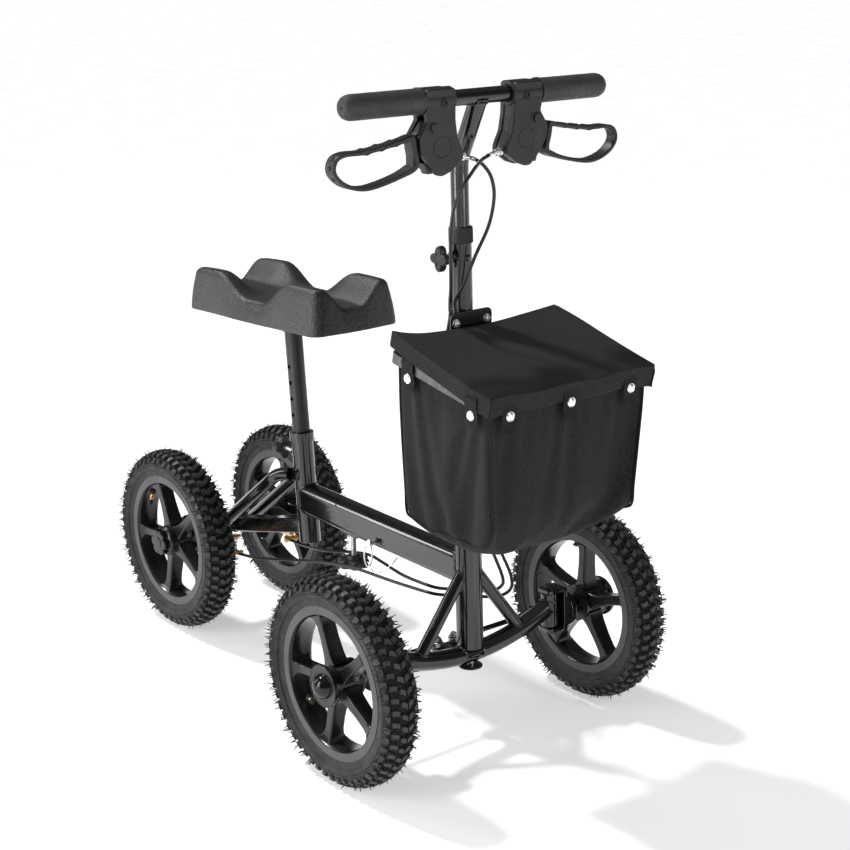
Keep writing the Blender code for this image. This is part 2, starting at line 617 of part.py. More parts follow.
def knuckle(side, word):
    """A yoke round the kingpin sleeve, with the kingpin, the stub axle and the steering arm."""
    middle = on_column(WHEEL_R, side * KINGPIN_X)
    frame = leaned(middle)
    cheek = block("knuckle_" + word, (0.0070, 0.0340, 0.0700), (0, 0, 0), PAINT)
    cheek.matrix_world = frame @ Matrix.Translation((side * 0.0190, 0, 0.0030))
    for label, z in (("top", 0.0350), ("bottom", -0.0260)):
        wing = block(f"knuckle_{label}_{word}", (0.0340, 0.0300, 0.0060), (0, 0, 0), None, True)
        wing.matrix_world = frame @ Matrix.Translation((side * 0.0050, 0, z))
        join(cheek, wing)
    pin_foot = frame @ Vector((0, 0, -0.0300))
    join(cheek, disc("kingpin_" + word, KINGPIN_R, 0.0730, pin_foot, COLUMN_UP, None, 20, True))
    head_foot = frame @ Vector((0, 0, 0.0370))
    join(cheek, disc("kingpin_head_" + word, 0.0085, 0.0080, head_foot, COLUMN_UP, None, 16, True))
    hub_x = FRONT_TRACK / 2 - KINGPIN_X
    flange_end = hub_x - 0.0230 - 0.0030
    for label, radius, start, end in (("flange", 0.0290, 0.0210, 0.0320), ("spacer", 0.0150, 0.0200, flange_end)):
        join(cheek, disc(f"hub_{label}_{word}", radius, end - start, frame @ Vector((side * start, 0, 0)),
                         X_AXIS * side, None, 20, True))
    join(cheek, disc("stub_axle_" + word, AXLE_R, hub_x + 0.0260 - 0.0200,
                     frame @ Vector((side * 0.0200, 0, 0)), X_AXIS * side, None, 16, True))
    arm_frame = leaned(on_column(LINK_Z, side * KINGPIN_X))
    arm = block("knuckle_arm_" + word, (0.0160, link_y + 0.0080, LINK_PLATE_T), (0, 0, 0), None, True)
    arm.matrix_world = arm_frame @ Matrix.Translation((side * link_x, link_y / 2, 0))
    join(cheek, arm, link_pin("knuckle_pin_" + word, arm_frame @ Vector((side * link_x, link_y, 0))))
    return cheek


for side, word in SIDE_NAMES.items():
    tie_rod(side, word)
    knuckle(side, word)


# ---------------------------------------------------------------- stem, handlebar, grips

BEND_Z = 0.8440
stem_path = [on_column(0.5200), *smooth_path([
    on_column(BEND_Z - 0.012), Vector((0, -0.2555, 0.8560)), Vector((0, -0.2720, 0.8930)),
    Vector((0, BAR_Y, 0.9370)),
], 5)]
bar_start = Vector((-BAR_HALF, BAR_Y, BAR_Z))
bar_cutter = disc("handlebar_space", BAR_R + GAP, 2 * BAR_HALF, bar_start, X_AXIS, None, 24, True)
cut(rod("stem_tube", stem_path, STEM_R, PAINT, 4), bar_cutter)
disc("handlebar", BAR_R, 2 * BAR_HALF, bar_start, X_AXIS, PAINT, 24)

GRIP_START = 0.1030
for side, word in SIDE_NAMES.items():
    turned("grip_" + word,
           [(0, 0.1250), (0.0100, 0.1245), (0.0145, 0.1215), (GRIP_R, 0.1170), (GRIP_R, 0.0),
            (BAR_R + GAP, 0.0), (BAR_R + GAP, BAR_HALF + GAP - GRIP_START), (0, BAR_HALF + GAP - GRIP_START)],
           Vector((side * GRIP_START, BAR_Y, BAR_Z)), X_AXIS * side, GRIP_RUBBER, 24, False)


# ---------------------------------------------------------------- brake levers

HOUSING_OUTLINE = [(0.0555, 0.9570), (0.0520, 0.9540), (0.0520, 0.9150), (0.0480, 0.8900), (0.0385, 0.8710),
                   (0.0385, 0.8620), (0.0590, 0.8470), (0.0740, 0.8420), (0.0820, 0.8430), (0.0960, 0.8560),
                   (0.1120, 0.8790), (0.1130, 0.8960), (0.0990, 0.9160), (0.1015, 0.9250), (0.1015, 0.9540),
                   (0.0980, 0.9570)]
LEVER_PATH = [(0.1210, 0.8960), (0.1185, 0.8800), (0.1150, 0.8620), (0.1240, 0.8540), (0.1560, 0.8440),
              (0.1910, 0.8375), (0.2130, 0.8390), (0.2320, 0.8460), (0.2450, 0.8570), (0.2485, 0.8680),
              (0.2430, 0.8790), (0.2290, 0.8835), (0.2050, 0.8835), (0.1880, 0.8850), (0.1540, 0.8900)]


def in_xz(y):
    """A frame whose X is the world's X, whose Y is the world's Z, at the given y."""
    return Matrix.Translation((0, y, 0)) @ ALONG_Y


def mirrored(points, side):
    return [(side * x, z) for x, z in points]


for side, word in SIDE_NAMES.items():
    housing = plate("brake_housing_" + word, [mirrored(HOUSING_OUTLINE, side)], 0.0320, in_xz(BAR_Y),
                    LEVER_PLASTIC)
    slot = block("lever_slot_" + word, (0.0500, 0.0140, 0.0760),
                 (side * (0.0720 + 0.0250), BAR_Y, 0.8840), None, True)
    hole = disc("bar_hole_" + word, BAR_R + GAP, 0.2000, Vector((side * 0.0200, BAR_Y, BAR_Z)),
                X_AXIS * side, None, 24, True)
    pivot_hole = disc("pivot_hole_" + word, 0.0035, 0.0500,
                      Vector((side * LEVER_PIVOT.x, BAR_Y - 0.0250, LEVER_PIVOT.z)), Y_AXIS, None, 12, True)
    cut(housing, slot, hole, pivot_hole)

    outer, inner_edge = band(mirrored(LEVER_PATH, side), LEVER_STRAP_T)
    loop = plate("brake_lever_" + word, [outer, inner_edge], LEVER_STRAP_W, in_xz(BAR_Y - 0.0040),
                 LEVER_PLASTIC)
    tongue = plate("lever_tongue_" + word,
                   [mirrored([(0.0840, 0.9150), (0.0800, 0.9070), (0.0830, 0.8980), (0.0900, 0.8740),
                              (0.1180, 0.8640), (0.1215, 0.8950), (0.1100, 0.8990), (0.0970, 0.9150),
                              (0.0905, 0.9175)], side)],
                   0.0120, in_xz(BAR_Y), None, True)
    pivot_pin = disc("lever_pin_" + word, 0.0030, 0.0300,
                     Vector((side * LEVER_PIVOT.x, BAR_Y - 0.0150, LEVER_PIVOT.z)), Y_AXIS, None, 12, True)
    join(loop, tongue, pivot_pin)

    adjuster_foot = Vector((side * 0.0382, BAR_Y - 0.0035, 0.8650))
    adjuster_way = Vector((-side * 0.95, 0, -0.20)).normalized()
    turned("cable_adjuster_" + word,
           [(0, 0.0190), (0.0030, 0.0190), (0.0034, 0.0110), (0.0048, 0.0105), (0.0048, 0.0040),
            (0.0062, 0.0035), (0.0062, 0.0), (0, 0.0)],
           adjuster_foot + adjuster_way * 0.0006, adjuster_way, CHROME, 16, False)


# ---------------------------------------------------------------- basket

tilt_ring = atan2(RING_BACK_Z - RING_FRONT_Z, RING_BACK_Y - RING_FRONT_Y)
ring_length = hypot(RING_BACK_Z - RING_FRONT_Z, RING_BACK_Y - RING_FRONT_Y)
ring_frame = (Matrix.Translation((0, (RING_BACK_Y + RING_FRONT_Y) / 2, (RING_BACK_Z + RING_FRONT_Z) / 2))
              @ Matrix.Rotation(tilt_ring, 4, "X"))
RING_T = 0.0030
plate("basket_ring",
      [rounded(RING_HALF_W, ring_length / 2, 0.0120, 3),
       rounded(RING_HALF_W - RING_T, ring_length / 2 - RING_T, 0.0090, 3)],
      0.0150, ring_frame, RING_STEEL)

LID_SLOPE = atan2(LID_BACK_Z - LID_FRONT_Z, LID_BACK_Y - LID_FRONT_Y)
LID_T = 0.0030


def bag():
    """An open box whose walls reach up to the lid, its lower edges and upright corners rounded."""
    mesh = bpy.data.meshes.new("basket_bag")
    shape = bmesh.new()
    bmesh.ops.create_cube(shape, size=1.0)
    for vert in shape.verts:
        back = vert.co.y > 0
        y = BAG_BACK_Y if back else BAG_FRONT_Y
        under_lid = LID_BACK_Z - (LID_BACK_Y - y) * tan(LID_SLOPE) - 0.0050
        vert.co = Vector((2 * BAG_HALF_W * vert.co.x, y, under_lid if vert.co.z > 0 else BAG_BOTTOM_Z))
    top = max(shape.faces, key=lambda face: face.calc_center_median().z)
    bmesh.ops.delete(shape, geom=[top], context="FACES_ONLY")
    rim = {edge for edge in shape.edges if edge.is_boundary}
    bmesh.ops.bevel(shape, geom=[edge for edge in shape.edges if edge not in rim], offset=0.0260,
                    segments=4, profile=0.5, affect="EDGES", clamp_overlap=True)
    shape.to_mesh(mesh)
    shape.free()
    obj = bpy.data.objects.new("basket_bag", mesh)
    solid = obj.modifiers.new("wall", "SOLIDIFY")
    solid.thickness = 0.0025
    solid.offset = -1.0
    return place(obj, "basket_bag", BASKET_FABRIC)


def lid():
    """A shallow tray upside down: a sloping top with a skirt at the front and sides."""
    length = hypot(LID_BACK_Z - LID_FRONT_Z, LID_BACK_Y - LID_FRONT_Y)
    frame = Matrix.Translation((0, LID_BACK_Y, LID_BACK_Z)) @ Matrix.Rotation(LID_SLOPE, 4, "X")
    top = block("basket_lid", (2 * LID_HALF_W, length, LID_T), (0, 0, 0), BASKET_FABRIC)
    top.matrix_world = frame @ Matrix.Translation((0, -length / 2, -LID_T / 2))
    skirts = [((2 * LID_HALF_W, 0.0025, LID_SKIRT), (0, -length + 0.00125, -LID_SKIRT / 2))]
    for side in SIDE_NAMES:
        skirts.append(((0.0025, length, LID_SKIRT), (side * (LID_HALF_W - 0.00125), -length / 2,
                                                     -LID_SKIRT / 2)))
    for i, (size, centre) in enumerate(skirts):
        skirt = block(f"lid_skirt_{i}", size, (0, 0, 0), None, True)
        skirt.matrix_world = frame @ Matrix.Translation(centre)
        join(top, skirt)
    return top


bag()
lid()

column_cutter = disc("column_space", COLUMN_R + GAP, 0.4500, on_column(0.3500), COLUMN_UP, None, 20, True)
bracket_plate = plate("basket_bracket", [rounded(0.0375, 0.0260, 0.0080)], 0.0030, in_xz(-0.2800),
                      PAINT)
bracket_plate.matrix_world = Matrix.Translation((0, 0, 0.6190)) @ bracket_plate.matrix_world
weld = block("bracket_weld", (0.0200, 0.0140, 0.0440), (0, -0.2725, 0.6190), None, True)
cut(join(bracket_plate, weld), column_cutter)


# ---------------------------------------------------------------- seat

post_low, post_top = on_seat_axis(0.2450), on_seat_axis(0.5440)
post = pipe("seat_post", post_low, post_top, POST_R, POST_WALL, PAINT, 20)
for i in range(4):
    z = 0.4760 - POST_HOLE_PITCH * i
    cut(post, disc(f"post_hole_{i}", 0.0035, 0.0600, on_seat_axis(z) - X_AXIS * 0.03, X_AXIS, None, 8,
                   True))

pad_frame = Matrix.Translation(PAD_CENTRE) @ Matrix.Rotation(PAD_TILT, 4, "X")
SEAT_PLATE_T = 0.0040
seat_plate = plate("seat_plate", [rounded(0.0450, 0.0800, 0.0120, 3)], SEAT_PLATE_T,
                   pad_frame @ Matrix.Translation((0, -0.0100, -SEAT_PLATE_T / 2 - GAP)), PAINT)
socket = turned("seat_socket",
                [(POST_R + 0.0040, 0.0400), (POST_R + 0.0040, 0), (POST_R + GAP, 0), (POST_R + GAP, 0.0400)],
                post_top - SEAT_UP * 0.0300, SEAT_UP, None, 20, True, True)
above_plate = block("above_plate", (0.2, 0.4, 0.04), (0, 0, 0), None, True)
above_plate.matrix_world = pad_frame @ Matrix.Translation((0, 0, 0.02 - GAP))
post_cutter = disc("post_space", POST_R + GAP, 0.30, post_top - SEAT_UP * 0.2997, SEAT_UP, None, 20, True)
cut(join(seat_plate, socket), above_plate, post_cutter)


def pad_height(u, v):
    """The pad's height at u across and v along, each from -1 to 1: four humps round two crossing troughs."""
    across = cos(u * pi / 2) ** 2
    along = cos(v * pi / 2) ** 4
    trough = 1 - (1 - across * 0.95) * (1 - along * 0.85)
    edge = 0.0180 * max(abs(u), abs(v)) ** 8
    return PAD_HUMP - (PAD_HUMP - PAD_DIP) * trough - edge


def knee_pad(columns=10, rows=20):
    """A moulded block with drafted sides, made as a grid over a flat base."""
    mesh = bpy.data.meshes.new("knee_pad")
    shape = bmesh.new()
    bmesh.ops.create_grid(shape, x_segments=columns, y_segments=rows, size=1.0)
    base_edges = [edge for edge in shape.edges if edge.is_boundary]
    for vert in shape.verts:
        u, v = vert.co.x, vert.co.y
        draft = 0.0070
        vert.co = Vector((u * (PAD_HALF_W - draft), v * (PAD_HALF_L - draft), pad_height(u, v)))
    wall = bmesh.ops.extrude_edge_only(shape, edges=base_edges)["geom"]
    for vert in [item for item in wall if isinstance(item, bmesh.types.BMVert)]:
        grow_x = PAD_HALF_W / (PAD_HALF_W - 0.0070)
        grow_y = PAD_HALF_L / (PAD_HALF_L - 0.0070)
        vert.co = Vector((vert.co.x * grow_x, vert.co.y * grow_y, 0.0))
    bmesh.ops.holes_fill(shape, edges=[edge for edge in shape.edges if edge.is_boundary], sides=0)
    bmesh.ops.recalc_face_normals(shape, faces=shape.faces)
    shape.to_mesh(mesh)
    shape.free()
    obj = bpy.data.objects.new("knee_pad", mesh)
    obj.matrix_world = pad_frame
    return place(obj, "knee_pad", PAD_FOAM)


knee_pad()


# ---------------------------------------------------------------- knobs and safety pin

def clamp_knob(name, axis_point, direction, reach, tip_r, thickness, lobes, bolt_r, tube_r, tube):
    """A star knob whose face is at reach from a tube's axis, its bolt threaded into the tube's wall."""
    tip = tube_r - 0.0010
    star_knob(name, axis_point + direction * reach, direction, tip_r, thickness, lobes, bolt_r,
              reach - thickness - tip)
    cut(tube, disc(name + "_hole", bolt_r + RUNNING, tip_r, axis_point + direction * tube_r / 2, direction, None,
                   12, True))


clamp_knob("column_knob", on_column(0.7185), -X_AXIS, 0.0430, 0.0170, 0.0120, 4, 0.0040, COLUMN_R, column)
clamp_knob("seat_knob", on_seat_axis(0.3310), Y_AXIS, 0.0620, 0.0200, 0.0130, 4, 0.0045, SEAT_TUBE_R,
           seat_tube)
star_knob("beam_knob", Vector((0, BEAM_KNOB_Y, 0.1790)), -Z_AXIS, 0.0260, 0.0140, 6, 0.0040, 0.0500)

pin = disc("safety_pin", PIN_R, 0.0520, Vector((-0.0260, PIN_Y, PIN_Z)), X_AXIS, CHROME, 16)
join(pin, disc("pin_head", 0.0065, 0.0060, Vector((-0.0300, PIN_Y, PIN_Z)), X_AXIS, None, 16, True))
ring_points = []
for i in range(13):
    angle = 2 * pi * i / 12
    ring_points.append(Vector((-0.0275, PIN_Y - 0.0130 * sin(angle), PIN_Z - 0.0150 + 0.0130 * cos(angle))))
join(pin, rod("pin_ring", ring_points[:-1] + [ring_points[0]], 0.0012, None, 2, True))


# ---------------------------------------------------------------- cables and lanyard

CABLE_R = 0.0025
CABLE_SPLIT_Z = 0.6500     # below this height a cable is clipped to the column and no longer moves with the stem
CABLE_CLIP = {RIGHT: (-0.0235, -0.2745), LEFT: (-0.0325, -0.2680)}
UPPER_ROUTE = {
    RIGHT: [(-0.0165, -0.2956, 0.8602), (-0.0060, -0.2965, 0.8560), (0.0070, -0.2985, 0.8460),
            (0.0190, -0.2990, 0.8290), (0.0250, -0.2975, 0.8020), (0.0185, -0.2945, 0.7640),
            (-0.0010, -0.2900, 0.7240), (-0.0160, -0.2830, 0.6840)],
    LEFT: [(0.0165, -0.2956, 0.8602), (0.0080, -0.3030, 0.8610), (-0.0060, -0.3050, 0.8560),
           (-0.0210, -0.3030, 0.8400), (-0.0335, -0.2960, 0.8170), (-0.0400, -0.2890, 0.7900),
           (-0.0435, -0.2835, 0.7560), (-0.0440, -0.2805, 0.7180), (-0.0370, -0.2720, 0.6780)],
}
LOWER_ROUTE = {
    RIGHT: [(-0.0240, -0.2650, 0.5700), (-0.0140, -0.2450, 0.5100), (0.0400, -0.2400, 0.3600),
            (0.0880, -0.2440, 0.2630), (0.1160, -0.2420, 0.2080), (0.1220, -0.2320, 0.1800),
            (0.1000, -0.2220, 0.1720), (0.0500, -0.2180, 0.1860), (0.0000, -0.2160, 0.1990),
            (-0.0210, -0.2050, 0.2060), (-0.0230, -0.1300, 0.1990), (-0.0270, -0.0420, 0.1940),
            (-0.0325, 0.0000, 0.1890), (-0.0340, 0.0400, 0.1820), (-0.0350, 0.1330, 0.1580),
            (-0.0470, 0.2080, 0.1420), (-0.0520, 0.2520, 0.1370)],
    LEFT: [(-0.0310, -0.2600, 0.5800), (-0.0100, -0.2330, 0.4700), (0.0340, -0.2310, 0.3600),
           (0.0800, -0.2340, 0.2630), (0.1060, -0.2330, 0.2080), (0.1120, -0.2240, 0.1870),
           (0.0950, -0.2140, 0.1800), (0.0520, -0.2100, 0.1930), (0.0080, -0.2060, 0.2040),
           (-0.0110, -0.1900, 0.2110), (-0.0060, -0.1300, 0.2060), (0.0180, -0.0500, 0.1960),
           (0.0325, 0.0000, 0.1890), (0.0340, 0.0400, 0.1820), (0.0350, 0.1330, 0.1580),
           (0.0470, 0.2080, 0.1420), (0.0520, 0.2520, 0.1370)],
}

for side, word in SIDE_NAMES.items():
    clip_x, clip_y = CABLE_CLIP[side]
    at_clip = [Vector((clip_x, clip_y, CABLE_SPLIT_Z + rise)) for rise in (0.0120, 0.0, -GAP, -0.0120)]
    upper = smooth_path([*map(Vector, UPPER_ROUTE[side]), at_clip[0]], 2) + [at_clip[1]]
    lower = [at_clip[2]] + smooth_path([at_clip[3], *map(Vector, LOWER_ROUTE[side])], 2)
    rod("cable_upper_" + word, upper, CABLE_R, CABLE_HOUSING, 2, False)
    rod("cable_lower_" + word, lower, CABLE_R, CABLE_HOUSING, 2, False)

LANYARD = [Vector(p) for p in (
    (-0.0302, -0.0760, 0.2165), (-0.0310, -0.0900, 0.2050), (-0.0290, -0.1080, 0.2080),
    (-0.0200, -0.1200, 0.2220), (-0.0100, -0.1240, 0.2330))]
rod("pin_lanyard", smooth_path(LANYARD, 3), 0.0012, CABLE_HOUSING, 1, False)

for obj in parts.objects:
    obj.data.shade_smooth()
    obj.data.set_sharp_from_angle(angle=radians(35))
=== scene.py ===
import json
import random
from math import atan2, cos, exp, hypot, pi, radians, sin, tan

import bmesh
import bpy
from mathutils import Matrix, Vector, noise


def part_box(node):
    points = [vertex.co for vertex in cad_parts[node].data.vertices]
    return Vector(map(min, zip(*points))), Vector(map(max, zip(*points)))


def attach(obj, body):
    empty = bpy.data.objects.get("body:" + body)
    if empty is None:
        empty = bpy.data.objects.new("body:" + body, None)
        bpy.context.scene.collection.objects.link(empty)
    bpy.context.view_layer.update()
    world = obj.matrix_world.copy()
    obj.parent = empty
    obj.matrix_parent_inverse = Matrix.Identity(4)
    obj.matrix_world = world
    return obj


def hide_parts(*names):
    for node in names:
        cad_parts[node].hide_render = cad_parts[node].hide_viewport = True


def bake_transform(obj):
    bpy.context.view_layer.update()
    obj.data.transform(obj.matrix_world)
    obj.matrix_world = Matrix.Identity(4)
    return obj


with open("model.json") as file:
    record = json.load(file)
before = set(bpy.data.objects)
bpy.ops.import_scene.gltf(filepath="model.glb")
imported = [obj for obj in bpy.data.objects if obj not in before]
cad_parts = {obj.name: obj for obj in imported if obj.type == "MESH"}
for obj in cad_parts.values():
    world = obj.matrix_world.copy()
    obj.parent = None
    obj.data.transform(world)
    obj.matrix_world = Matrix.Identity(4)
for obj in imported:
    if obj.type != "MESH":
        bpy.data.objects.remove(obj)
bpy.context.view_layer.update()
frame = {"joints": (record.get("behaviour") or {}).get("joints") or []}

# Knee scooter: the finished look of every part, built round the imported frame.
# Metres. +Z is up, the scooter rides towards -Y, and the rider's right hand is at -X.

joints = {joint["name"]: joint for joint in frame["joints"]}
chance = random.Random(7)

RIGHT, LEFT = -1, 1
SIDES = {RIGHT: "right", LEFT: "left"}
X, Y, Z = Vector((1, 0, 0)), Vector((0, 1, 0)), Vector((0, 0, 1))


# ---------------------------------------------------------------- camera, floor and light

CAMERA_PLACE = (-1.5717, -2.1308, 1.2106)
CAMERA_TURN = (pi / 2 - 0.2931, 0.0, -0.6777)
CAMERA_LENS = 75.74

camera = bpy.data.objects.new("camera", bpy.data.cameras.new("camera"))
camera.location = CAMERA_PLACE
camera.rotation_euler = CAMERA_TURN
camera.data.lens = CAMERA_LENS
bpy.context.scene.collection.objects.link(camera)
bpy.context.scene.camera = camera
bpy.context.scene.view_settings.view_transform = "Standard"


def softbox(name, place, target, width, height, power):
    """A rectangular light that faces the target."""
    data = bpy.data.lights.new(name, "AREA")
    data.shape = "RECTANGLE"
    data.size, data.size_y, data.energy = width, height, power
    lamp = bpy.data.objects.new(name, data)
    lamp.location = place
    lamp.rotation_euler = (Vector(target) - Vector(place)).to_track_quat("-Z", "Y").to_euler()
    bpy.context.scene.collection.objects.link(lamp)


def sunlight(name, way, power, softness):
    """A distant light that shines along way, its edges softened by its width in degrees."""
    data = bpy.data.lights.new(name, "SUN")
    data.energy, data.angle = power, radians(softness)
    lamp = bpy.data.objects.new(name, data)
    lamp.rotation_euler = Vector(way).to_track_quat("-Z", "Y").to_euler()
    bpy.context.scene.collection.objects.link(lamp)


sunlight("light_key", (0.19, -0.54, -0.82), 2.35, 5)
softbox("light_left", (-3.0, 0.2, 1.3), (0, 0, 0.4), 1.0, 2.2, 62)
softbox("light_front", (0.7, -3.2, 1.5), (0, 0, 0.4), 0.5, 2.2, 32)
softbox("light_behind", (-2.2, 2.6, 1.5), (0, 0, 0.4), 0.4, 2.0, 26)


def studio_world():
    """White to the eye, and to reflections a dome that is pale overhead and dim round the sides."""
    world = bpy.data.worlds.new("studio")
    bpy.context.scene.world = world
    world.use_nodes = True
    nodes, links = world.node_tree.nodes, world.node_tree.links
    background = nodes["Background"]
    spot = nodes.new("ShaderNodeTexCoord")
    split = nodes.new("ShaderNodeSeparateXYZ")
    ramp = nodes.new("ShaderNodeValToRGB")
    for stop, (place, level) in zip((ramp.color_ramp.elements[0], ramp.color_ramp.elements[1]),
                                    ((0.0, 0.4), (1.0, 0.28))):
        stop.position, stop.color = place, (level, level, level, 1)
    for place, level in ((0.1, 0.15), (0.45, 0.07), (0.75, 0.16)):
        stop = ramp.color_ramp.elements.new(place)
        stop.color = (level, level, level, 1)
    ray = nodes.new("ShaderNodeLightPath")
    seen = nodes.new("ShaderNodeMix")
    seen.data_type = "RGBA"
    seen.inputs[7].default_value = (0.98, 0.98, 0.98, 1)
    links.new(spot.outputs["Generated"], split.inputs[0])
    links.new(split.outputs["Z"], ramp.inputs["Fac"])
    links.new(ray.outputs["Is Camera Ray"], seen.inputs[0])
    links.new(ramp.outputs["Color"], seen.inputs[6])
    links.new(seen.outputs[2], background.inputs["Color"])
    background.inputs["Strength"].default_value = 1.0


studio_world()


# ---------------------------------------------------------------- materials

class Finish:
    """A Principled material with procedural colour, roughness and relief, in the piece's own coordinates."""

    def __init__(self, name, colour, roughness, metallic=0.0, **sockets):
        self.material = bpy.data.materials.new(name)
        self.material.use_nodes = True
        self.tree = self.material.node_tree
        self.shader = self.tree.nodes["Principled BSDF"]
        self.shader.inputs["Base Color"].default_value = (*colour, 1)
        self.shader.inputs["Roughness"].default_value = roughness
        self.shader.inputs["Metallic"].default_value = metallic
        for socket, value in sockets.items():
            self.shader.inputs[socket.replace("_", " ")].default_value = value
        self.place = self.tree.nodes.new("ShaderNodeTexCoord").outputs["Object"]
        self.relief = None

    def put(self, socket, value):
        if isinstance(value, bpy.types.NodeSocket):
            self.tree.links.new(value, socket)
        else:
            socket.default_value = value

    def node(self, kind, *inputs, **settings):
        made = self.tree.nodes.new("ShaderNode" + kind)
        for key, value in settings.items():
            setattr(made, key, value)
        for socket, value in zip(made.inputs, inputs):
            if value is not None:
                self.put(socket, value)
        return made

    def math(self, operation, *values):
        return self.node("Math", *values, operation=operation).outputs[0]

    def noise(self, scale, detail=2.0, place=None, stretch=None):
        place = place or self.place
        if stretch:
            place = self.node("VectorMath", place, stretch, operation="MULTIPLY").outputs[0]
        made = self.node("TexNoise")
        self.put(made.inputs["Vector"], place)
        made.inputs["Scale"].default_value = scale
        made.inputs["Detail"].default_value = detail
        return made.outputs[0]

    def cells(self, scale, feature="F1"):
        made = self.node("TexVoronoi", feature=feature)
        self.put(made.inputs["Vector"], self.place)
        made.inputs["Scale"].default_value = scale
        return made.outputs["Distance"]

    def span(self, value, low, high, from_low=0.35, from_high=0.65):
        """Value, from from_low to from_high, spread over low to high."""
        made = self.node("MapRange")
        self.put(made.inputs["Value"], value)
        for name, number in (("From Min", from_low), ("From Max", from_high), ("To Min", low),
                             ("To Max", high)):
            made.inputs[name].default_value = number
        return made.outputs[0]

    def tint(self, share, colour):
        """Mixes the base colour towards this one by share, which is a texture."""
        base = self.shader.inputs["Base Color"]
        made = self.node("Mix", data_type="RGBA", clamp_factor=True)
        self.put(made.inputs[0], share)
        self.put(made.inputs[6], base.links[0].from_socket if base.links else tuple(base.default_value))
        made.inputs[7].default_value = (*colour, 1)
        self.tree.links.new(made.outputs[2], base)
        return self

    def rough(self, value):
        self.put(self.shader.inputs["Roughness"], value)
        return self

    def bump(self, height, depth, strength=1.0):
        """Adds relief of the given depth in metres."""
        made = self.node("Bump")
        made.inputs["Strength"].default_value = strength
        made.inputs["Distance"].default_value = depth
        self.put(made.inputs["Height"], height)
        if self.relief:
            self.put(made.inputs["Normal"], self.relief)
        self.relief = made.outputs[0]
        self.put(self.shader.inputs["Normal"], self.relief)
        return self


def powder_coat(name, level, roughness, coat):
    """Black powder coat over steel: a slight orange peel, faint dust and uneven gloss."""
    look = Finish(name, (level, level, level * 1.06), roughness, 0.0, Coat_Weight=coat, Coat_Roughness=0.045)
    cloud, fine = look.noise(9, 4), look.noise(420, 2)
    look.rough(look.span(cloud, roughness * 0.75, roughness * 1.35))
    look.tint(look.span(look.noise(60, 5), 0.0, 0.25, 0.55, 0.8), (0.014, 0.014, 0.015))
    return look.bump(fine, 0.00012, 0.35).material


def moulded(name, level, roughness, grain, depth, dust=0.02, warm=1.0):
    """Moulded plastic with a fine sparked grain, and lighter where it has been rubbed or is dusty."""
    look = Finish(name, (level * warm, level, level * 1.03), roughness, 0.0, Specular_IOR_Level=0.38)
    look.rough(look.span(look.noise(26, 4), roughness * 0.82, roughness * 1.18))
    look.tint(look.span(look.noise(45, 6), 0.0, 0.5, 0.52, 0.78), (level + dust,) * 3)
    look.bump(look.noise(grain, 3), depth, 0.6)
    return look.bump(look.noise(40, 2), depth * 2, 0.12).material


def metal(name, colour, second, roughness):
    """Plated steel: fine scratches one way and the other, and patches of the second colour."""
    look = Finish(name, colour, roughness, 1.0)
    look.tint(look.span(look.noise(140, 4), 0.0, 1.0, 0.4, 0.66), second)
    brushed = look.noise(900, 2, stretch=(1.0, 1.0, 0.12))
    look.rough(look.span(brushed, roughness * 0.7, roughness * 1.5))
    return look.bump(look.noise(300, 3), 0.00008, 0.3).material


def tyre_rubber():
    """Matt black rubber: dusty in patches, with the fine rings of its mould on the sidewalls."""
    look = Finish("tyre_rubber", (0.012, 0.012, 0.0125), 0.6, 0.0, Sheen_Weight=0.05, Specular_IOR_Level=0.35)
    look.rough(look.span(look.noise(70, 4), 0.5, 0.74))
    look.tint(look.span(look.noise(38, 6), 0.0, 0.8, 0.46, 0.74), (0.03, 0.0295, 0.029))
    look.tint(look.span(look.noise(420, 3), 0.0, 0.5, 0.5, 0.75), (0.066, 0.065, 0.064))
    parts = look.node("SeparateXYZ", look.place).outputs
    square = look.math("ADD", *(look.math("MULTIPLY", part, part) for part in parts[:2]))
    rings = look.math("SINE", look.math("MULTIPLY", look.math("SQRT", square), 2 * pi / 0.0016))
    look.bump(rings, 0.00006, 0.35)
    return look.bump(look.noise(900, 3), 0.00025, 0.8).material


def grip_rubber():
    """Grey-black soft rubber with a pebbled skin, shiny where hands have worn it."""
    look = Finish("grip_rubber", (0.02, 0.02, 0.021), 0.55, 0.0, Sheen_Weight=0.08, Specular_IOR_Level=0.4)
    look.rough(look.span(look.noise(24, 4), 0.44, 0.72))
    look.tint(look.span(look.noise(700, 3), 0.0, 0.7, 0.48, 0.72), (0.055, 0.055, 0.057))
    look.bump(look.cells(900), 0.00035, 0.7)
    return look.bump(look.noise(1500, 3), 0.00015, 0.6).material


def pad_skin():
    """Self-skinned polyurethane foam: charcoal, with a pebble grain that sparkles a little."""
    look = Finish("pad_skin", (0.0085, 0.0085, 0.009), 0.38, 0.0, Specular_IOR_Level=0.55)
    look.rough(look.span(look.noise(14, 4), 0.34, 0.46))
    look.tint(look.span(look.noise(440, 4), 0.0, 0.8, 0.47, 0.72), (0.08, 0.08, 0.084))
    look.tint(look.span(look.noise(9, 3), 0.0, 0.35, 0.45, 0.75), (0.016, 0.016, 0.017))
    look.bump(look.cells(520), 0.0007, 0.75)
    return look.bump(look.noise(1100, 3), 0.00025, 0.7).material


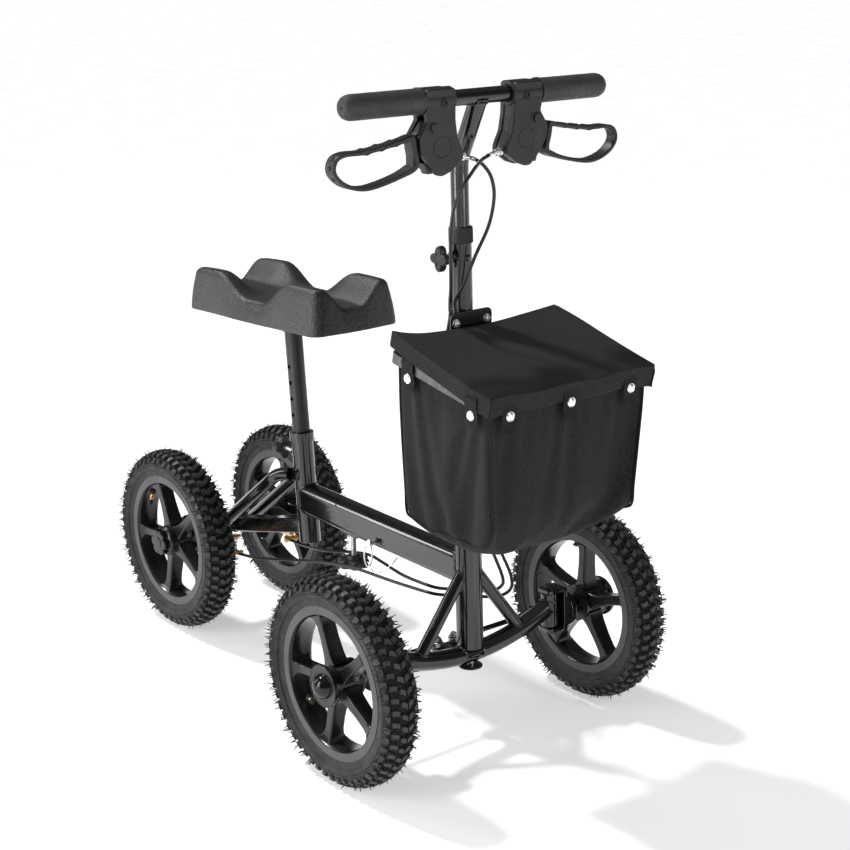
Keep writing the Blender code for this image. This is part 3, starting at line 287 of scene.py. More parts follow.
def woven(name, level, sheen):
    """Black polyester canvas: a plain weave whose threads follow the two main directions of each face."""
    look = Finish(name, (level, level, level * 1.08), 0.78, 0.0, Sheen_Weight=sheen, Specular_IOR_Level=0.22)
    thread = 2 * pi / 0.0011
    waves = [look.math("SINE", look.math("MULTIPLY", part, thread))
             for part in look.node("SeparateXYZ", look.place).outputs]
    facing = look.tree.nodes.new("ShaderNodeTexCoord").outputs["Normal"]
    share = [look.math("ABSOLUTE", part) for part in look.node("SeparateXYZ", facing).outputs]
    crossings = [look.math("MULTIPLY", look.math("MULTIPLY", waves[i - 2], waves[i - 1]), share[i])
                 for i in range(3)]
    weave = look.math("ADD", look.math("ADD", crossings[0], crossings[1]), crossings[2])
    look.tint(look.span(weave, 0.0, 0.55, -0.7, 0.8), (level * 2.1, level * 2.1, level * 2.25))
    look.tint(look.span(look.noise(460, 4), 0.0, 0.8, 0.47, 0.74), (level * 5, level * 5, level * 5.2))
    look.tint(look.span(look.noise(12, 4), 0.0, 0.4, 0.45, 0.75), (level * 0.6,) * 3)
    look.bump(weave, 0.00022, 0.75)
    return look.bump(look.noise(160, 3), 0.0005, 0.25).material


PAINT = powder_coat("gloss_black_paint", 0.004, 0.17, 0.45)
SATIN = powder_coat("satin_black_paint", 0.0075, 0.4, 0.06)
WHEEL = moulded("wheel_nylon", 0.0095, 0.24, 700, 0.0001, 0.012)
# The rim's raised side rings: the wheel's own nylon, made lighter as a painted reflection of its satin face.
RIM_FACE_REFLECTION = moulded("rim_face_painted_reflection", 0.062, 0.42, 900, 0.00008, 0.02)
LEVER = moulded("lever_plastic", 0.012, 0.4, 1300, 0.00022, 0.016)
KNOB = moulded("knob_plastic", 0.034, 0.38, 1200, 0.00018, 0.02)
GLOSS_CAP = moulded("gloss_cap", 0.006, 0.12, 300, 0.00003, 0.004)
CABLE = moulded("cable_housing", 0.012, 0.32, 500, 0.00008, 0.012)
SOFT_RUBBER = moulded("black_rubber", 0.014, 0.62, 900, 0.0002, 0.02)
CHROME = metal("bright_chrome", (0.82, 0.82, 0.84), (0.7, 0.7, 0.72), 0.21)
STEEL = metal("zinc_steel", (0.5, 0.5, 0.5), (0.36, 0.36, 0.36), 0.34)
RING_STEEL = metal("ring_steel", (0.15, 0.15, 0.155), (0.1, 0.1, 0.105), 0.45)
NICKEL = metal("satin_nickel", (0.92, 0.92, 0.92), (0.78, 0.78, 0.79), 0.4)
YELLOW_ZINC = metal("yellow_zinc", (0.78, 0.56, 0.24), (0.7, 0.4, 0.3), 0.27)
BRASS = metal("brass", (0.86, 0.62, 0.27), (0.7, 0.45, 0.18), 0.22)
TYRE = tyre_rubber()
# Tread blocks: the tyre's rubber made lighter, painted light standing in for the light the blocks face away
# from.
TREAD_PAINTED_LIGHT = moulded("tread_rubber_painted_light", 0.03, 0.5, 500, 0.00035, 0.035)
# Between the blocks: the tyre's rubber made near black, a painted shade in the grooves.
GROOVE_PAINTED_SHADE = moulded("tread_groove_painted_shade", 0.0022, 0.75, 600, 0.0003, 0.004)
GRIP = grip_rubber()
PAD = pad_skin()
CANVAS = woven("basket_canvas", 0.0062, 0.04)
TAPE = woven("binding_tape", 0.005, 0.03)


def concrete():
    look = Finish("pale_floor", (0.88, 0.88, 0.88), 0.55, 0.0, Emission_Strength=0.43)
    look.shader.inputs["Emission Color"].default_value = (1, 1, 1, 1)
    look.tint(look.span(look.noise(3, 4), 0.0, 0.25), (0.84, 0.84, 0.84))
    look.rough(look.span(look.noise(6, 3), 0.35, 0.6))
    return look.bump(look.noise(240, 3), 0.0001, 0.1).material


floor_mesh = bpy.data.meshes.new("floor")
floor_shape = bmesh.new()
bmesh.ops.create_grid(floor_shape, x_segments=1, y_segments=1, size=40.0)
floor_shape.to_mesh(floor_mesh)
floor_shape.free()
floor_mesh.materials.append(concrete())
floor = bpy.data.objects.new("floor", floor_mesh)
floor.location.z = -0.0002
bpy.context.scene.collection.objects.link(floor)


# ---------------------------------------------------------------- modelling helpers

def placed(origin, x, y, z):
    """A frame with these axes."""
    made = Matrix((x, y, z)).transposed().to_4x4()
    made.translation = origin
    return made


def towards(direction, origin, up=None):
    """A frame whose Z axis points along direction, and whose Y axis is as near up as it can be."""
    z = Vector(direction).normalized()
    up = up or (Z if abs(z.z) < 0.9 else Y)
    x = up.cross(z).normalized()
    return placed(Vector(origin), x, z.cross(x), z)


def eased(points, radius, steps=3, closed=False):
    """The line with its corners rounded off. Its points have 2 or 3 numbers each."""
    points = [Vector(point) for point in points]
    rounded_off = []
    for i, corner in enumerate(points):
        if not closed and i in (0, len(points) - 1):
            rounded_off.append(corner)
            continue
        before, after = points[i - 1] - corner, points[(i + 1) % len(points)] - corner
        start = corner + before.normalized() * min(radius, before.length * 0.48)
        end = corner + after.normalized() * min(radius, after.length * 0.48)
        for k in range(steps + 1):
            t = k / steps
            rounded_off.append(start.lerp(corner, t).lerp(corner.lerp(end, t), t))
    return rounded_off


def rounded(half_w, half_h, radius, steps=6):
    """A rectangle with rounded corners, anticlockwise."""
    points = []
    for sx, sy, start in ((1, 1, 0), (-1, 1, 90), (-1, -1, 180), (1, -1, 270)):
        for i in range(steps + 1):
            angle = radians(start + 90 * i / steps)
            points.append(Vector((sx * (half_w - radius) + radius * cos(angle),
                                  sy * (half_h - radius) + radius * sin(angle))))
    return points


def circle(radius, steps=24, x=0.0, y=0.0, start=0.0, sweep=2 * pi):
    spans = steps if sweep > 2 * pi - 0.001 else steps - 1
    return [Vector((x + radius * cos(start + sweep * i / spans), y + radius * sin(start + sweep * i / spans)))
            for i in range(steps)]


def smooth(points, per_span=6):
    """Points along a smooth curve through the given points."""
    points = [Vector(point) for point in points]
    ends = [points[0] * 2 - points[1], *points, points[-1] * 2 - points[-2]]
    path = []
    for p0, p1, p2, p3 in zip(ends, ends[1:], ends[2:], ends[3:]):
        for i in range(per_span):
            t = i / per_span
            path.append(0.5 * (2 * p1 + (p2 - p0) * t + (2 * p0 - 5 * p1 + 4 * p2 - p3) * t ** 2
                               + (3 * p1 - p0 - 3 * p2 + p3) * t ** 3))
    return [*path, points[-1]]


def along(path, closed=False, up=None):
    """A frame at each point of the path, its Z axis along it. Without up they turn as little as they can."""
    made, side = [], None
    for i, point in enumerate(path):
        before = path[i - 1] if closed or i else path[0]
        after = path[(i + 1) % len(path)] if closed or i < len(path) - 1 else path[-1]
        way = (after - before).normalized()
        if up is not None:
            side = up.cross(way).normalized()
        elif side is None:
            side = way.orthogonal().normalized()
        else:
            side = (side - way * side.dot(way)).normalized()
        made.append(placed(point, side, way.cross(side), way))
    return made


def skin(mesh, rows, closed=False):
    """Faces between rows of vertices, each an open line or, where closed is True, a ring."""
    for first, second in zip(rows, rows[1:]):
        for i in range(len(first) if closed else len(first) - 1):
            j = (i + 1) % len(first)
            mesh.faces.new((first[i], first[j], second[j], second[i]))


class Shape:
    """A mesh being made. New faces take the current look, an index into the looks of the piece."""

    def __init__(self):
        self.mesh = bmesh.new()
        self.look = 0

    def face(self, corners):
        made = self.mesh.faces.new(corners)
        made.material_index = self.look

    def loft(self, rows, closed=False, caps=True, rings=True):
        """A skin over rows of points, each a ring, or an open line where rings is False."""
        made = []
        for row in rows:
            if (row[0] - row[len(row) // 2]).length < 1e-7 and (row[0] - row[1]).length < 1e-7:
                made.append([self.mesh.verts.new(row[0])] * len(row))
            else:
                made.append([self.mesh.verts.new(point) for point in row])
        for first, second in zip(made, made[1:] + ([made[0]] if closed else [])):
            for i in range(len(first) if rings else len(first) - 1):
                j = (i + 1) % len(first)
                corners = list(dict.fromkeys((first[i], first[j], second[j], second[i])))
                if len(corners) > 2:
                    self.face(corners)
        if caps and rings and not closed:
            for row in (made[0], made[-1]):
                if row[0] is not row[1]:
                    self.face(row)

    def turn(self, profile, place, steps=48, closed=False):
        """A turned shape. The profile is (radius, height) points about the frame's Z axis."""
        angles = [2 * pi * i / steps for i in range(steps)]
        self.loft([[place @ Vector((r * cos(a), r * sin(a), h)) for a in angles] for r, h in profile], closed)

    def pipe(self, place, length, outer, inner, ease, steps):
        """A straight tube from the frame's XY plane up along its Z axis, with eased rims."""
        profile = [(outer, length), (outer, 0), (inner, 0), (inner, length)]
        self.turn(eased(profile, ease, 2, True), place, steps, True)

    def tube(self, path, radius, steps=16, closed=False, caps=True, section=None, up=None):
        """A bar along the path. The radius is a number or a function of the share of the way along."""
        section = section or circle(1.0, steps)
        rows = []
        for i, place in enumerate(along(path, closed, up)):
            size = radius(i / (len(path) - 1)) if callable(radius) else radius
            rows.append([place @ Vector((point.x * size, point.y * size, 0)) for point in section])
        self.loft(rows, closed, caps)

    def plate(self, outlines, thickness, place, ease=0.0006):
        """A flat piece centred on the frame's XY plane, with eased edges. Further outlines are holes."""
        curve = bpy.data.curves.new("outline", "CURVE")
        curve.dimensions, curve.fill_mode = "2D", "BOTH"
        curve.extrude, curve.bevel_depth, curve.offset = thickness / 2 - ease, ease, -ease
        curve.bevel_resolution = 2
        for outline in outlines:
            spline = curve.splines.new("POLY")
            spline.points.add(len(outline) - 1)
            spline.use_cyclic_u = True
            for spot, point in zip(spline.points, outline):
                spot.co = (point[0], point[1], 0, 1)
        holder = bpy.data.objects.new("outline", curve)
        flat = bpy.data.meshes.new_from_object(holder)
        flat.transform(place)
        known = len(self.mesh.faces)
        self.mesh.from_mesh(flat)
        self.mesh.faces.ensure_lookup_table()
        fresh = self.mesh.faces[known:]
        for face in fresh:
            face.material_index = self.look
        bmesh.ops.remove_doubles(self.mesh, verts=list({v for face in fresh for v in face.verts}), dist=1e-6)
        bpy.data.objects.remove(holder)
        bpy.data.curves.remove(curve)
        bpy.data.meshes.remove(flat)

    def box(self, size, place, corner=0.002, ease=0.0008):
        """A block centred on the frame, with rounded corners in its XY plane and eased edges."""
        self.plate([rounded(size[0] / 2, size[1] / 2, corner, 4)], size[2], place, ease)

    def bead(self, points, radius=0.0015):
        """A run of weld round a closed line, with the ripples it was laid in."""
        length = sum((a - b).length for a, b in zip(points, points[1:] + points[:1]))
        ripples = max(6, round(length / 0.0032))
        self.tube(points, lambda share: radius * (1 + 0.16 * sin(2 * pi * ripples * share)), 8, True)

    def bolt(self, place, radius, height):
        """A domed head with a hexagonal socket, on the frame's XY plane."""
        profile = [(radius, 0), (radius, height * 0.35), (radius * 0.92, height * 0.72),
                   (radius * 0.72, height), (radius * 0.52, height), (radius * 0.5, height * 0.4)]
        self.turn(eased(profile, radius * 0.08, 2), place, 24)

    def nut(self, place, across, height, washer=1.25):
        """A hexagonal nut on a washer, on the frame's XY plane, with the end of its bolt."""
        r = across / 2 / cos(pi / 6)
        self.turn(eased([(r * washer, 0), (r * washer, height * 0.16), (r * 0.4, height * 0.16)], 0.0003, 2),
                  place, 28)
        self.plate([circle(r, 6)], height * 0.84, place @ Matrix.Translation((0, 0, height * 0.58)),
                   height * 0.08)
        self.turn(eased([(r * 0.48, height), (r * 0.48, height * 1.35), (0, height * 1.35)], 0.0004, 2),
                  place, 20)


def seam(origin, way, radius, axis_point, axis_way, axis_radius, steps=150):
    """The line where a round tube, seen from origin along way, first meets the outside of another."""
    way, axis_way = way.normalized(), axis_way.normalized()
    side = way.orthogonal().normalized()
    rise = way.cross(side)
    run = way - axis_way * way.dot(axis_way)
    points = []
    for i in range(steps):
        angle = 2 * pi * i / steps
        start = origin + (side * cos(angle) + rise * sin(angle)) * radius
        flat = start - axis_point
        flat -= axis_way * flat.dot(axis_way)
        a, b, c = run.dot(run), flat.dot(run), flat.dot(flat) - axis_radius ** 2
        points.append(start + way * ((-b - max(0.0, b * b - a * c) ** 0.5) / a))
    return points


def finished(name, shape, looks, angle):
    """The shape as a mesh with its looks, smooth but for edges sharper than the angle in degrees."""
    bmesh.ops.recalc_face_normals(shape.mesh, faces=shape.mesh.faces)
    mesh = bpy.data.meshes.new(name)
    shape.mesh.to_mesh(mesh)
    shape.mesh.free()
    for look in looks:
        mesh.materials.append(look)
    mesh.shade_smooth()
    mesh.set_sharp_from_angle(angle=radians(angle))
    return mesh


def piece(name, shape, looks, body, slot, *nodes, angle=38, place=None):
    """Makes the shape, or a mesh, an object that rides on the body and stands for the CAD nodes."""
    mesh = finished(name, shape, looks, angle) if isinstance(shape, Shape) else shape
    made = bpy.data.objects.new(name, mesh)
    bpy.context.scene.collection.objects.link(made)
    if place:
        made.matrix_world = place
    shading = made.modifiers.new("even_shading", "WEIGHTED_NORMAL")
    shading.keep_sharp = True
    if nodes:
        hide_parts(*nodes)
    if body:
        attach(made, body)
    return made


def middle(node):
    low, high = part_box(node)
    return (low + high) / 2


def axis_of(joint, foot):
    """A function for the point at a height on the joint's axis, which passes through foot, and the axis."""
    foot, way = Vector(foot), Vector(joints[joint]["axis"]).normalized()

    def at(z, x=0.0):
        return Vector((x, foot.y + (z - foot.z) * way.y / way.z, z))
    return at, way


on_column, COLUMN_UP = axis_of("steering", joints["steering"]["pos_m"])
on_post, POST_UP = axis_of("seat_height", middle("seat_tube"))
RAKE = atan2(COLUMN_UP.y, COLUMN_UP.z)


# ---------------------------------------------------------------- tyres and wheels

TYRE_LOW, TYRE_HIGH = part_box("tyre_front_right")
TYRE_R = (TYRE_HIGH.z - TYRE_LOW.z) / 2
KNOB_H = 0.0058
SECTION_HIGH, SECTION_WIDE = 0.0165, (TYRE_HIGH.x - TYRE_LOW.x) / 2 - 0.0018
SECTION_R = TYRE_R - SECTION_HIGH - KNOB_H
RIM_R, RIM_HALF_W = 0.1112, 0.0196
PITCHES = 54                 # tread blocks round the tyre
ROUND = 108                  # points round a tyre or a rim


def wheel_frame(centre, side):
    """The wheel's own frame: Z outwards and Y up."""
    return placed(centre, Z.cross(X * side), Z, X * side)


def on_tyre(angle, across, rise=0.0):
    """A point of the tyre's skin, at an angle round the wheel and an angle across it from the crown."""
    normal = Vector((cos(across) / SECTION_HIGH, sin(across) / SECTION_WIDE)).normalized()
    r = SECTION_R + SECTION_HIGH * cos(across) + normal.x * rise
    w = SECTION_WIDE * sin(across) + normal.y * rise
    return Vector((r * cos(angle), r * sin(angle), w))


def ridge(degrees):
    """Height of the raised rings on a sidewall, in metres."""
    rings = ((84, 0.0012, 1.8), (92, -0.001, 1.8), (99, 0.001, 1.8), (114, 0.0012, 2.0))
    return sum(high * exp(-((degrees - middle_at) / width) ** 2) for middle_at, high, width in rings)


def tread_knob(shape, angle, outline, height):
    """A tapered block of rubber. The outline is (millimetres round the tyre, degrees across it)."""
    # The blocks, and the hairs built after them, take the lighter tread rubber: painted light.
    shape.look = 2
    middle_s = sum(s for s, across in outline) / len(outline)
    middle_a = sum(across for s, across in outline) / len(outline)
    rows = []
    for scale, rise in ((1.04, -0.0006), (0.97, height - 0.0005), (0.9, height), (0.0, height - 0.0001)):
        rows.append([on_tyre(angle + (middle_s + (s - middle_s) * scale) * 0.001 / TYRE_R,
                             radians(middle_a + (across - middle_a) * scale), rise) for s, across in outline])
    shape.loft(rows, caps=False)


def hair(shape, angle, across, length, lean):
    """A thin rubber vent hair that stands on the tread."""
    foot, tip = on_tyre(angle, across, 0.003), on_tyre(angle, across, 0.004 + length)
    tip += Vector((-sin(angle), cos(angle), 0)) * lean
    half = foot.lerp(tip, 0.55) + Vector((0, 0, lean * 0.25))
    shape.tube([foot, half, tip], lambda share: 0.001 - 0.00055 * share, 4)


def tyre_mesh():
    shape = Shape()
    rows = []
    for step in range(-50, 51):
        degrees = step * 2.5
        across, rise = radians(degrees), ridge(abs(degrees))
        rows.append([on_tyre(2 * pi * i / ROUND, across, rise) for i in range(ROUND)])
    for r, w in ((RIM_R + 0.0022, RIM_HALF_W + 0.0002), (RIM_R + 0.0008, RIM_HALF_W),
                 (RIM_R + 0.0004, 0.015)):
        for sign, put in ((1, rows.append), (-1, lambda row: rows.insert(0, row))):
            put([Vector((p.x, p.y, sign * w)) for p in circle(r, ROUND)])
    shape.loft(rows, closed=True)
    # Crown faces between the knobs take the groove material, a near-black painted shade in the recesses.
    for part in shape.mesh.faces:
        spot = part.calc_center_median()
        if abs(spot.z) < SECTION_WIDE * sin(radians(60)) and spot.xy.length > SECTION_R:
            part.material_index = 1
    pitch = 2 * pi / PITCHES
    for k in range(PITCHES):
        angle = k * pitch
        for side in (1, -1):
            centre = [(-4.6, 1.6), (3.2, 1.6), (6.6, 9), (7.6, 19), (0.6, 19.5), (-1.2, 11)]
            outer = [(4.6, 26), (12.2, 24), (14.4, 35), (14.0, 47), (6.6, 47.5), (7.0, 36)]
            if k % 2:
                edge, edge_h = [(-5.6, 54), (3.4, 53), (4.6, 67), (3.0, 82), (-3.8, 82), (-5.8, 67)], 0.0034
            else:
                edge, edge_h = [(-4.4, 54), (4.8, 55), (5.2, 63), (3.8, 72), (-4.6, 72), (-5.0, 63)], 0.004
            for outline, height in ((centre, KNOB_H), (outer, KNOB_H * 0.94), (edge, edge_h)):
                tread_knob(shape, angle, [(s, side * across) for s, across in outline], height)
            rib = [(6.6, 84), (8.2, 84), (8.2, 72), (6.6, 72)]
            tread_knob(shape, angle, [(s, side * across) for s, across in rib], 0.001)
            for hair_at in (68, 44, 78, 20, 58):
                turn = angle + chance.uniform(-0.45, 0.45) * pitch
                below = abs((turn + pi / 2 + pi) % (2 * pi) - pi)
                long, lean = chance.uniform(0.0036, 0.0085), chance.uniform(-0.0032, 0.0032)
                shown = chance.random()
                if below > radians(15) and shown < 0.9:
                    hair(shape, turn, side * radians(hair_at + chance.uniform(-4, 4)), long, lean)
    return finished("tyre", shape, (TYRE, GROOVE_PAINTED_SHADE, TREAD_PAINTED_LIGHT), 32)


def spoke(shape, angle):
    """A thick moulded spoke that flares into the hub and the rim."""
    out, cross = Vector((cos(angle), sin(angle), 0)), Vector((-sin(angle), cos(angle), 0))
    stations = ((0.0235, 0.013, 0.0146), (0.029, 0.0104, 0.0138), (0.038, 0.0088, 0.013),
                (0.06, 0.0076, 0.0122), (0.08, 0.0078, 0.012), (0.089, 0.0088, 0.013),
                (0.0935, 0.0116, 0.0148), (0.0962, 0.0162, 0.0168))
    rows = []
    for r, half_w, half_d in stations:
        rows.append([out * r + cross * point.x + Z * point.y for point in rounded(half_w, half_d, 0.0034, 5)])
    shape.loft(rows)


def valve(shape, angle, reach):
    """A bent-in brass valve: a rubber foot on the rim's barrel, a brass stem and a black cap."""
    foot = Vector((cos(angle - 0.07), sin(angle - 0.07), 0)) * (reach + 0.023) + Z * 0.003
    tip = Vector((cos(angle + 0.1), sin(angle + 0.1), 0)) * reach + Z * 0.016
    place = towards(tip - foot, foot)
    shape.look = 2
    shape.turn(eased([(0.0062, -0.002), (0.0058, 0.002), (0.0034, 0.005), (0, 0.0052)], 0.001), place, 20)
    shape.look = 3
    ribs = [(0.0026 + (0.0003 if k % 2 else 0.0), 0.004 + 0.0007 * k) for k in range(18)]
    shape.turn([*ribs, (0, 0.0165)], place, 18)
    shape.look = 4
    shape.turn(eased([(0.003, 0.015), (0.0038, 0.0158), (0.0036, 0.0225), (0.0028, 0.024), (0, 0.0242)],
                     0.0006), place, 18)


FRONT_HUB = [(0.0, 0.0455), (0.0045, 0.0451), (0.0088, 0.0437), (0.0125, 0.0413), (0.0154, 0.0379),
             (0.0172, 0.0345), (0.0179, 0.0316), (0.0184, 0.0303), (0.0212, 0.0303), (0.0216, 0.0312),
             (0.0288, 0.0312), (0.0292, 0.0321), (0.0303, 0.0321), (0.0307, 0.0312), (0.0305, 0.0268),
             (0.0262, 0.0245), (0.0245, 0.02), (0.0245, -0.015), (0.0272, -0.019), (0.0275, -0.0228),
             (0.0, -0.0228)]
REAR_HUB = [(0.0, 0.033), (0.019, 0.033), (0.0196, 0.0285), (0.0232, 0.0262), (0.0252, 0.0235),
            (0.0252, -0.015), (0.029, -0.0205), (0.034, -0.0235), (0.0345, -0.0385), (0.0335, -0.0395),
            (0.0, -0.0395)]
SPOKES_FROM = {RIGHT: radians(114), LEFT: radians(90)}
VALVES = {"front": (radians(220), 0.066), "rear": (radians(142), 0.073)}


def wheel_mesh(end, side):
    shape = Shape()
    origin = Matrix()
    outside = RIM_R + 0.001
    half_well = [(0.0953, 0.0), (0.0956, 0.006), (0.0966, 0.015), (0.0986, RIM_HALF_W)]
    rim = [(outside, RIM_HALF_W), (outside, -RIM_HALF_W), *((r, -w) for r, w in half_well[:0:-1]), *half_well]
    shape.turn(eased(rim, 0.001, 2, True), origin, ROUND, True)
    for i in range(5):
        spoke(shape, 2 * pi * i / 5 + SPOKES_FROM[side])
    if end == "front":
        shape.turn(eased(FRONT_HUB[6:], 0.0004, 2), origin, 72)
        shape.look = 5
        shape.turn(FRONT_HUB[:8], origin, 72)
    else:
        shape.turn(eased(REAR_HUB, 0.0012, 3), origin, 72)
        shape.look = 5
        lobes = [Vector((r * cos(a), r * sin(a))) for a, r in (
            (2 * pi * i / 120, 0.0168 + 0.005 * min(1.0, 1.35 * abs(cos(3 * 2 * pi * i / 120)) ** 0.6))
            for i in range(120))]
        shape.plate([lobes], 0.012, Matrix.Translation((0, 0, 0.0322)), 0.0026)
        shape.turn(eased([(0.01, 0.0378), (0.0098, 0.0392), (0.0, 0.0395)], 0.0006), origin, 40)
    # The raised rings on each face of the rim take the lighter colour, which is a painted reflection.
    shape.look = 1
    for sign in (1, -1):
        face = [(0.099, sign * 0.0192), (0.099, sign * 0.0202), (RIM_R - 0.0004, sign * 0.0202),
                (RIM_R - 0.0004, sign * 0.0192)]
        shape.turn(eased(face, 0.0003, 2, True), origin, ROUND, True)
    turn, reach = VALVES[end]
    valve(shape, turn - (2 * 2 * pi / 5 if side == LEFT else 0), reach)
    return finished(f"wheel_{end}_{SIDES[side]}", shape,
                    (WHEEL, RIM_FACE_REFLECTION, SOFT_RUBBER, BRASS, SOFT_RUBBER, GLOSS_CAP), 38)


shared_tyre = tyre_mesh()
for end in ("front", "rear"):
    for side, word in SIDES.items():
        where = wheel_frame(middle(f"tyre_{end}_{word}"), side)
        body = f"{end}_wheel_{word}"
        piece(f"{end}_tyre_{word}", shared_tyre, (), body, "tyre", f"tyre_{end}_{word}", place=where)
        piece(f"{end}_rim_{word}", wheel_mesh(end, side), (), body, "wheel", f"wheel_{end}_{word}",
              place=where)


# ---------------------------------------------------------------- head tube, front axle and struts

HEAD_R = 0.0198
HEAD_FOOT_Z, HEAD_TOP_Z = 0.14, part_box("head_tube")[1].z
FRONT_Y = on_column(middle("tyre_front_right").z).y
AXLE_R, AXLE_LOW_Z, AXLE_BOW, AXLE_HALF = 0.014, 0.1286, 1.38, 0.15
KINGPIN_X, KINGPIN_SLEEVE_R = abs(joints["kingpin_right"]["pos_m"][0]), 0.0125
BEAM_Z = middle("main_beam").z
BEAM_W, BEAM_H, BEAM_CORNER = 0.034, 0.05, 0.012


def axle_line(x):
    return Vector((x, FRONT_Y, AXLE_LOW_Z + AXLE_BOW * x * x))


def head_tube():
    shape = Shape()
    length = (on_column(HEAD_TOP_Z) - on_column(HEAD_FOOT_Z)).length
    shape.pipe(towards(COLUMN_UP, on_column(HEAD_FOOT_Z)), length, HEAD_R, HEAD_R - 0.003, 0.001, 56)
    shape.bead(seam(on_column(0.3), -COLUMN_UP, HEAD_R, axle_line(0), X, AXLE_R), 0.0019)
    piece("head_tube_shell", shape, (PAINT,), "frame", "paint", "head_tube")


def headset():
    """The upper cup with its lock nut and seal."""
    shape = Shape()
    foot = towards(COLUMN_UP, on_column(HEAD_TOP_Z))
    cup = [(0.0153, 0.0006), (0.0214, 0.0006), (0.0216, 0.0034), (0.0206, 0.004), (0.0206, 0.0046),
           (0.02, 0.0078), (0.0176, 0.008), (0.0153, 0.008)]
    shape.turn(eased(cup, 0.0004, 2, True), foot, 56, True)
    piece("headset_race", shape, (CHROME,), "frame", "chrome", "headset_cup")


def front_axle():
    shape = Shape()
    steps = 60
    line = [axle_line(AXLE_HALF * (2 * i / steps - 1)) for i in range(steps + 1)]
    shape.tube(line, AXLE_R, 32)
    for side in SIDES:
        low, top = on_column(0.131, side * KINGPIN_X), on_column(0.183, side * KINGPIN_X)
        shape.pipe(towards(COLUMN_UP, low), (top - low).length, KINGPIN_SLEEVE_R, 0.0066, 0.0008, 40)
        slope = (axle_line(side * AXLE_HALF) - axle_line(side * (AXLE_HALF - 0.02))).normalized()
        near, far = axle_line(side * 0.1), axle_line(side * 0.142)
        shape.bead(seam(near + (far - near) * 0.2, slope, AXLE_R * 0.96, on_column(0.15, side * KINGPIN_X),
                        COLUMN_UP, KINGPIN_SLEEVE_R), 0.0017)
    piece("axle_beam", shape, (PAINT,), "frame", "paint", "front_axle_tube", angle=50)


def strut(side, word):
    shape = Shape()
    start, end = on_column(0.26, side * 0.008), Vector((side * 0.098, FRONT_Y, 0.142))
    way = (end - start).normalized()
    shape.tube([start + way * 0.008, start + way * 0.05, end - way * 0.03, end - way * 0.002], 0.0095, 28)
    shape.bead(seam(end, -way, 0.0095, on_column(0.2), COLUMN_UP, HEAD_R), 0.0017)
    foot = axle_line(side * 0.098)
    tangent = axle_line(side * 0.108) - axle_line(side * 0.088)
    shape.bead(seam(start, way, 0.0095, foot, tangent, AXLE_R), 0.0017)
    piece("axle_strut_" + word, shape, (PAINT,), "frame", "paint", "strut_" + word)


head_tube()
headset()
front_axle()
for side, word in SIDES.items():
    strut(side, word)


# ---------------------------------------------------------------- beam, seat tube and rear frame

SEAM_FRONT_Y, SEAM_BACK_Y = -0.0215, 0.0335     # where the beam's slanting end meets its lower and upper face
SEAT_R = 0.0175
REAR_AXLE = middle("rear_axle_tube")
SEAT_TUBE_LOW, SEAT_TUBE_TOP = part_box("seat_tube")[0].z + 0.0015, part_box("seat_tube")[1].z


def beam_ring(y_at, grow=0.0):
    """A ring round the beam's section. y_at gives the y of each of its points from their x and z."""
    return [Vector((p.x, y_at(p.x, BEAM_Z + p.y), BEAM_Z + p.y))
            for p in rounded(BEAM_W / 2 + grow, BEAM_H / 2 + grow, BEAM_CORNER + grow, 8)]


def on_head(x, z):
    return on_column(z).y + max(0.0, HEAD_R ** 2 - x * x) ** 0.5 - 0.0004


def on_seam(x, z):
    return SEAM_FRONT_Y + (SEAM_BACK_Y - SEAM_FRONT_Y) * (z - BEAM_Z + BEAM_H / 2) / BEAM_H


def on_seat_tube(x, z, grow=0.0):
    return on_post(z).y - max(0.0, (SEAT_R + grow) ** 2 - x * x) ** 0.5


def main_beam():
    shape = Shape()
    shape.loft([beam_ring(on_head, -0.0004), beam_ring(lambda x, z: on_head(x, z) + 0.01),
                beam_ring(lambda x, z: -0.16), beam_ring(lambda x, z: on_seam(x, z) - 0.0012),
                beam_ring(lambda x, z: on_seam(x, z) - 0.0002, -0.0006),
                beam_ring(lambda x, z: on_seam(x, z) - 0.0004, -0.002),
                beam_ring(lambda x, z: on_seam(x, z) - 0.03, -0.0021)], caps=False)
    shape.bead(beam_ring(lambda x, z: on_head(x, z) + 0.0006, 0.0003), 0.0019)
    piece("beam_tube", shape, (PAINT,), "frame", "paint", "main_beam", angle=50)


def beam_socket():
    """The rear half of the folding beam: a tube that slides into the front half, inside a welded sleeve."""
    shape = Shape()
    gap = 0.0012
    lower_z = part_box("beam_insert")[0].z
    inner = -0.0025
    shape.loft([beam_ring(lambda x, z: -0.095, inner), beam_ring(lambda x, z: 0.05, inner),
                beam_ring(lambda x, z: on_seat_tube(x, z) + 0.001, inner)])
    shape.loft([beam_ring(lambda x, z: on_seam(x, z) + gap + 0.001, -0.002),
                beam_ring(lambda x, z: on_seam(x, z) + gap, -0.0006),
                beam_ring(lambda x, z: on_seam(x, z) + gap + 0.001, 0.0),
                beam_ring(lambda x, z: on_seat_tube(x, z) - 0.006), beam_ring(on_seat_tube, -0.0003)],
               caps=False)
    shape.bead(beam_ring(lambda x, z: on_seat_tube(x, z) - 0.0004, 0.0004), 0.0018)
    shape.box((0.022, 0.05, 0.003), Matrix.Translation((0, 0.003, lower_z + 0.0017)), 0.006, 0.0008)
    piece("beam_sleeve", shape, (PAINT,), "frame", "paint", "beam_insert", angle=50)


def seat_tube():
    shape = Shape()
    low = on_post(SEAT_TUBE_LOW)
    length = (on_post(SEAT_TUBE_TOP) - low).length
    shape.pipe(towards(POST_UP, low), length, SEAT_R, SEAT_R - 0.0029, 0.0009, 56)
    boss = towards(Y, on_post(joints["seat_knob_turn"]["pos_m"][2]) + Y * (SEAT_R - 0.001))
    shape.turn(eased([(0.0095, 0), (0.009, 0.006), (0.005, 0.006), (0.005, 0)], 0.0006, 2, True), boss, 32,
               True)
    piece("seat_tube_shell", shape, (PAINT,), "frame", "paint", "seat_tube")


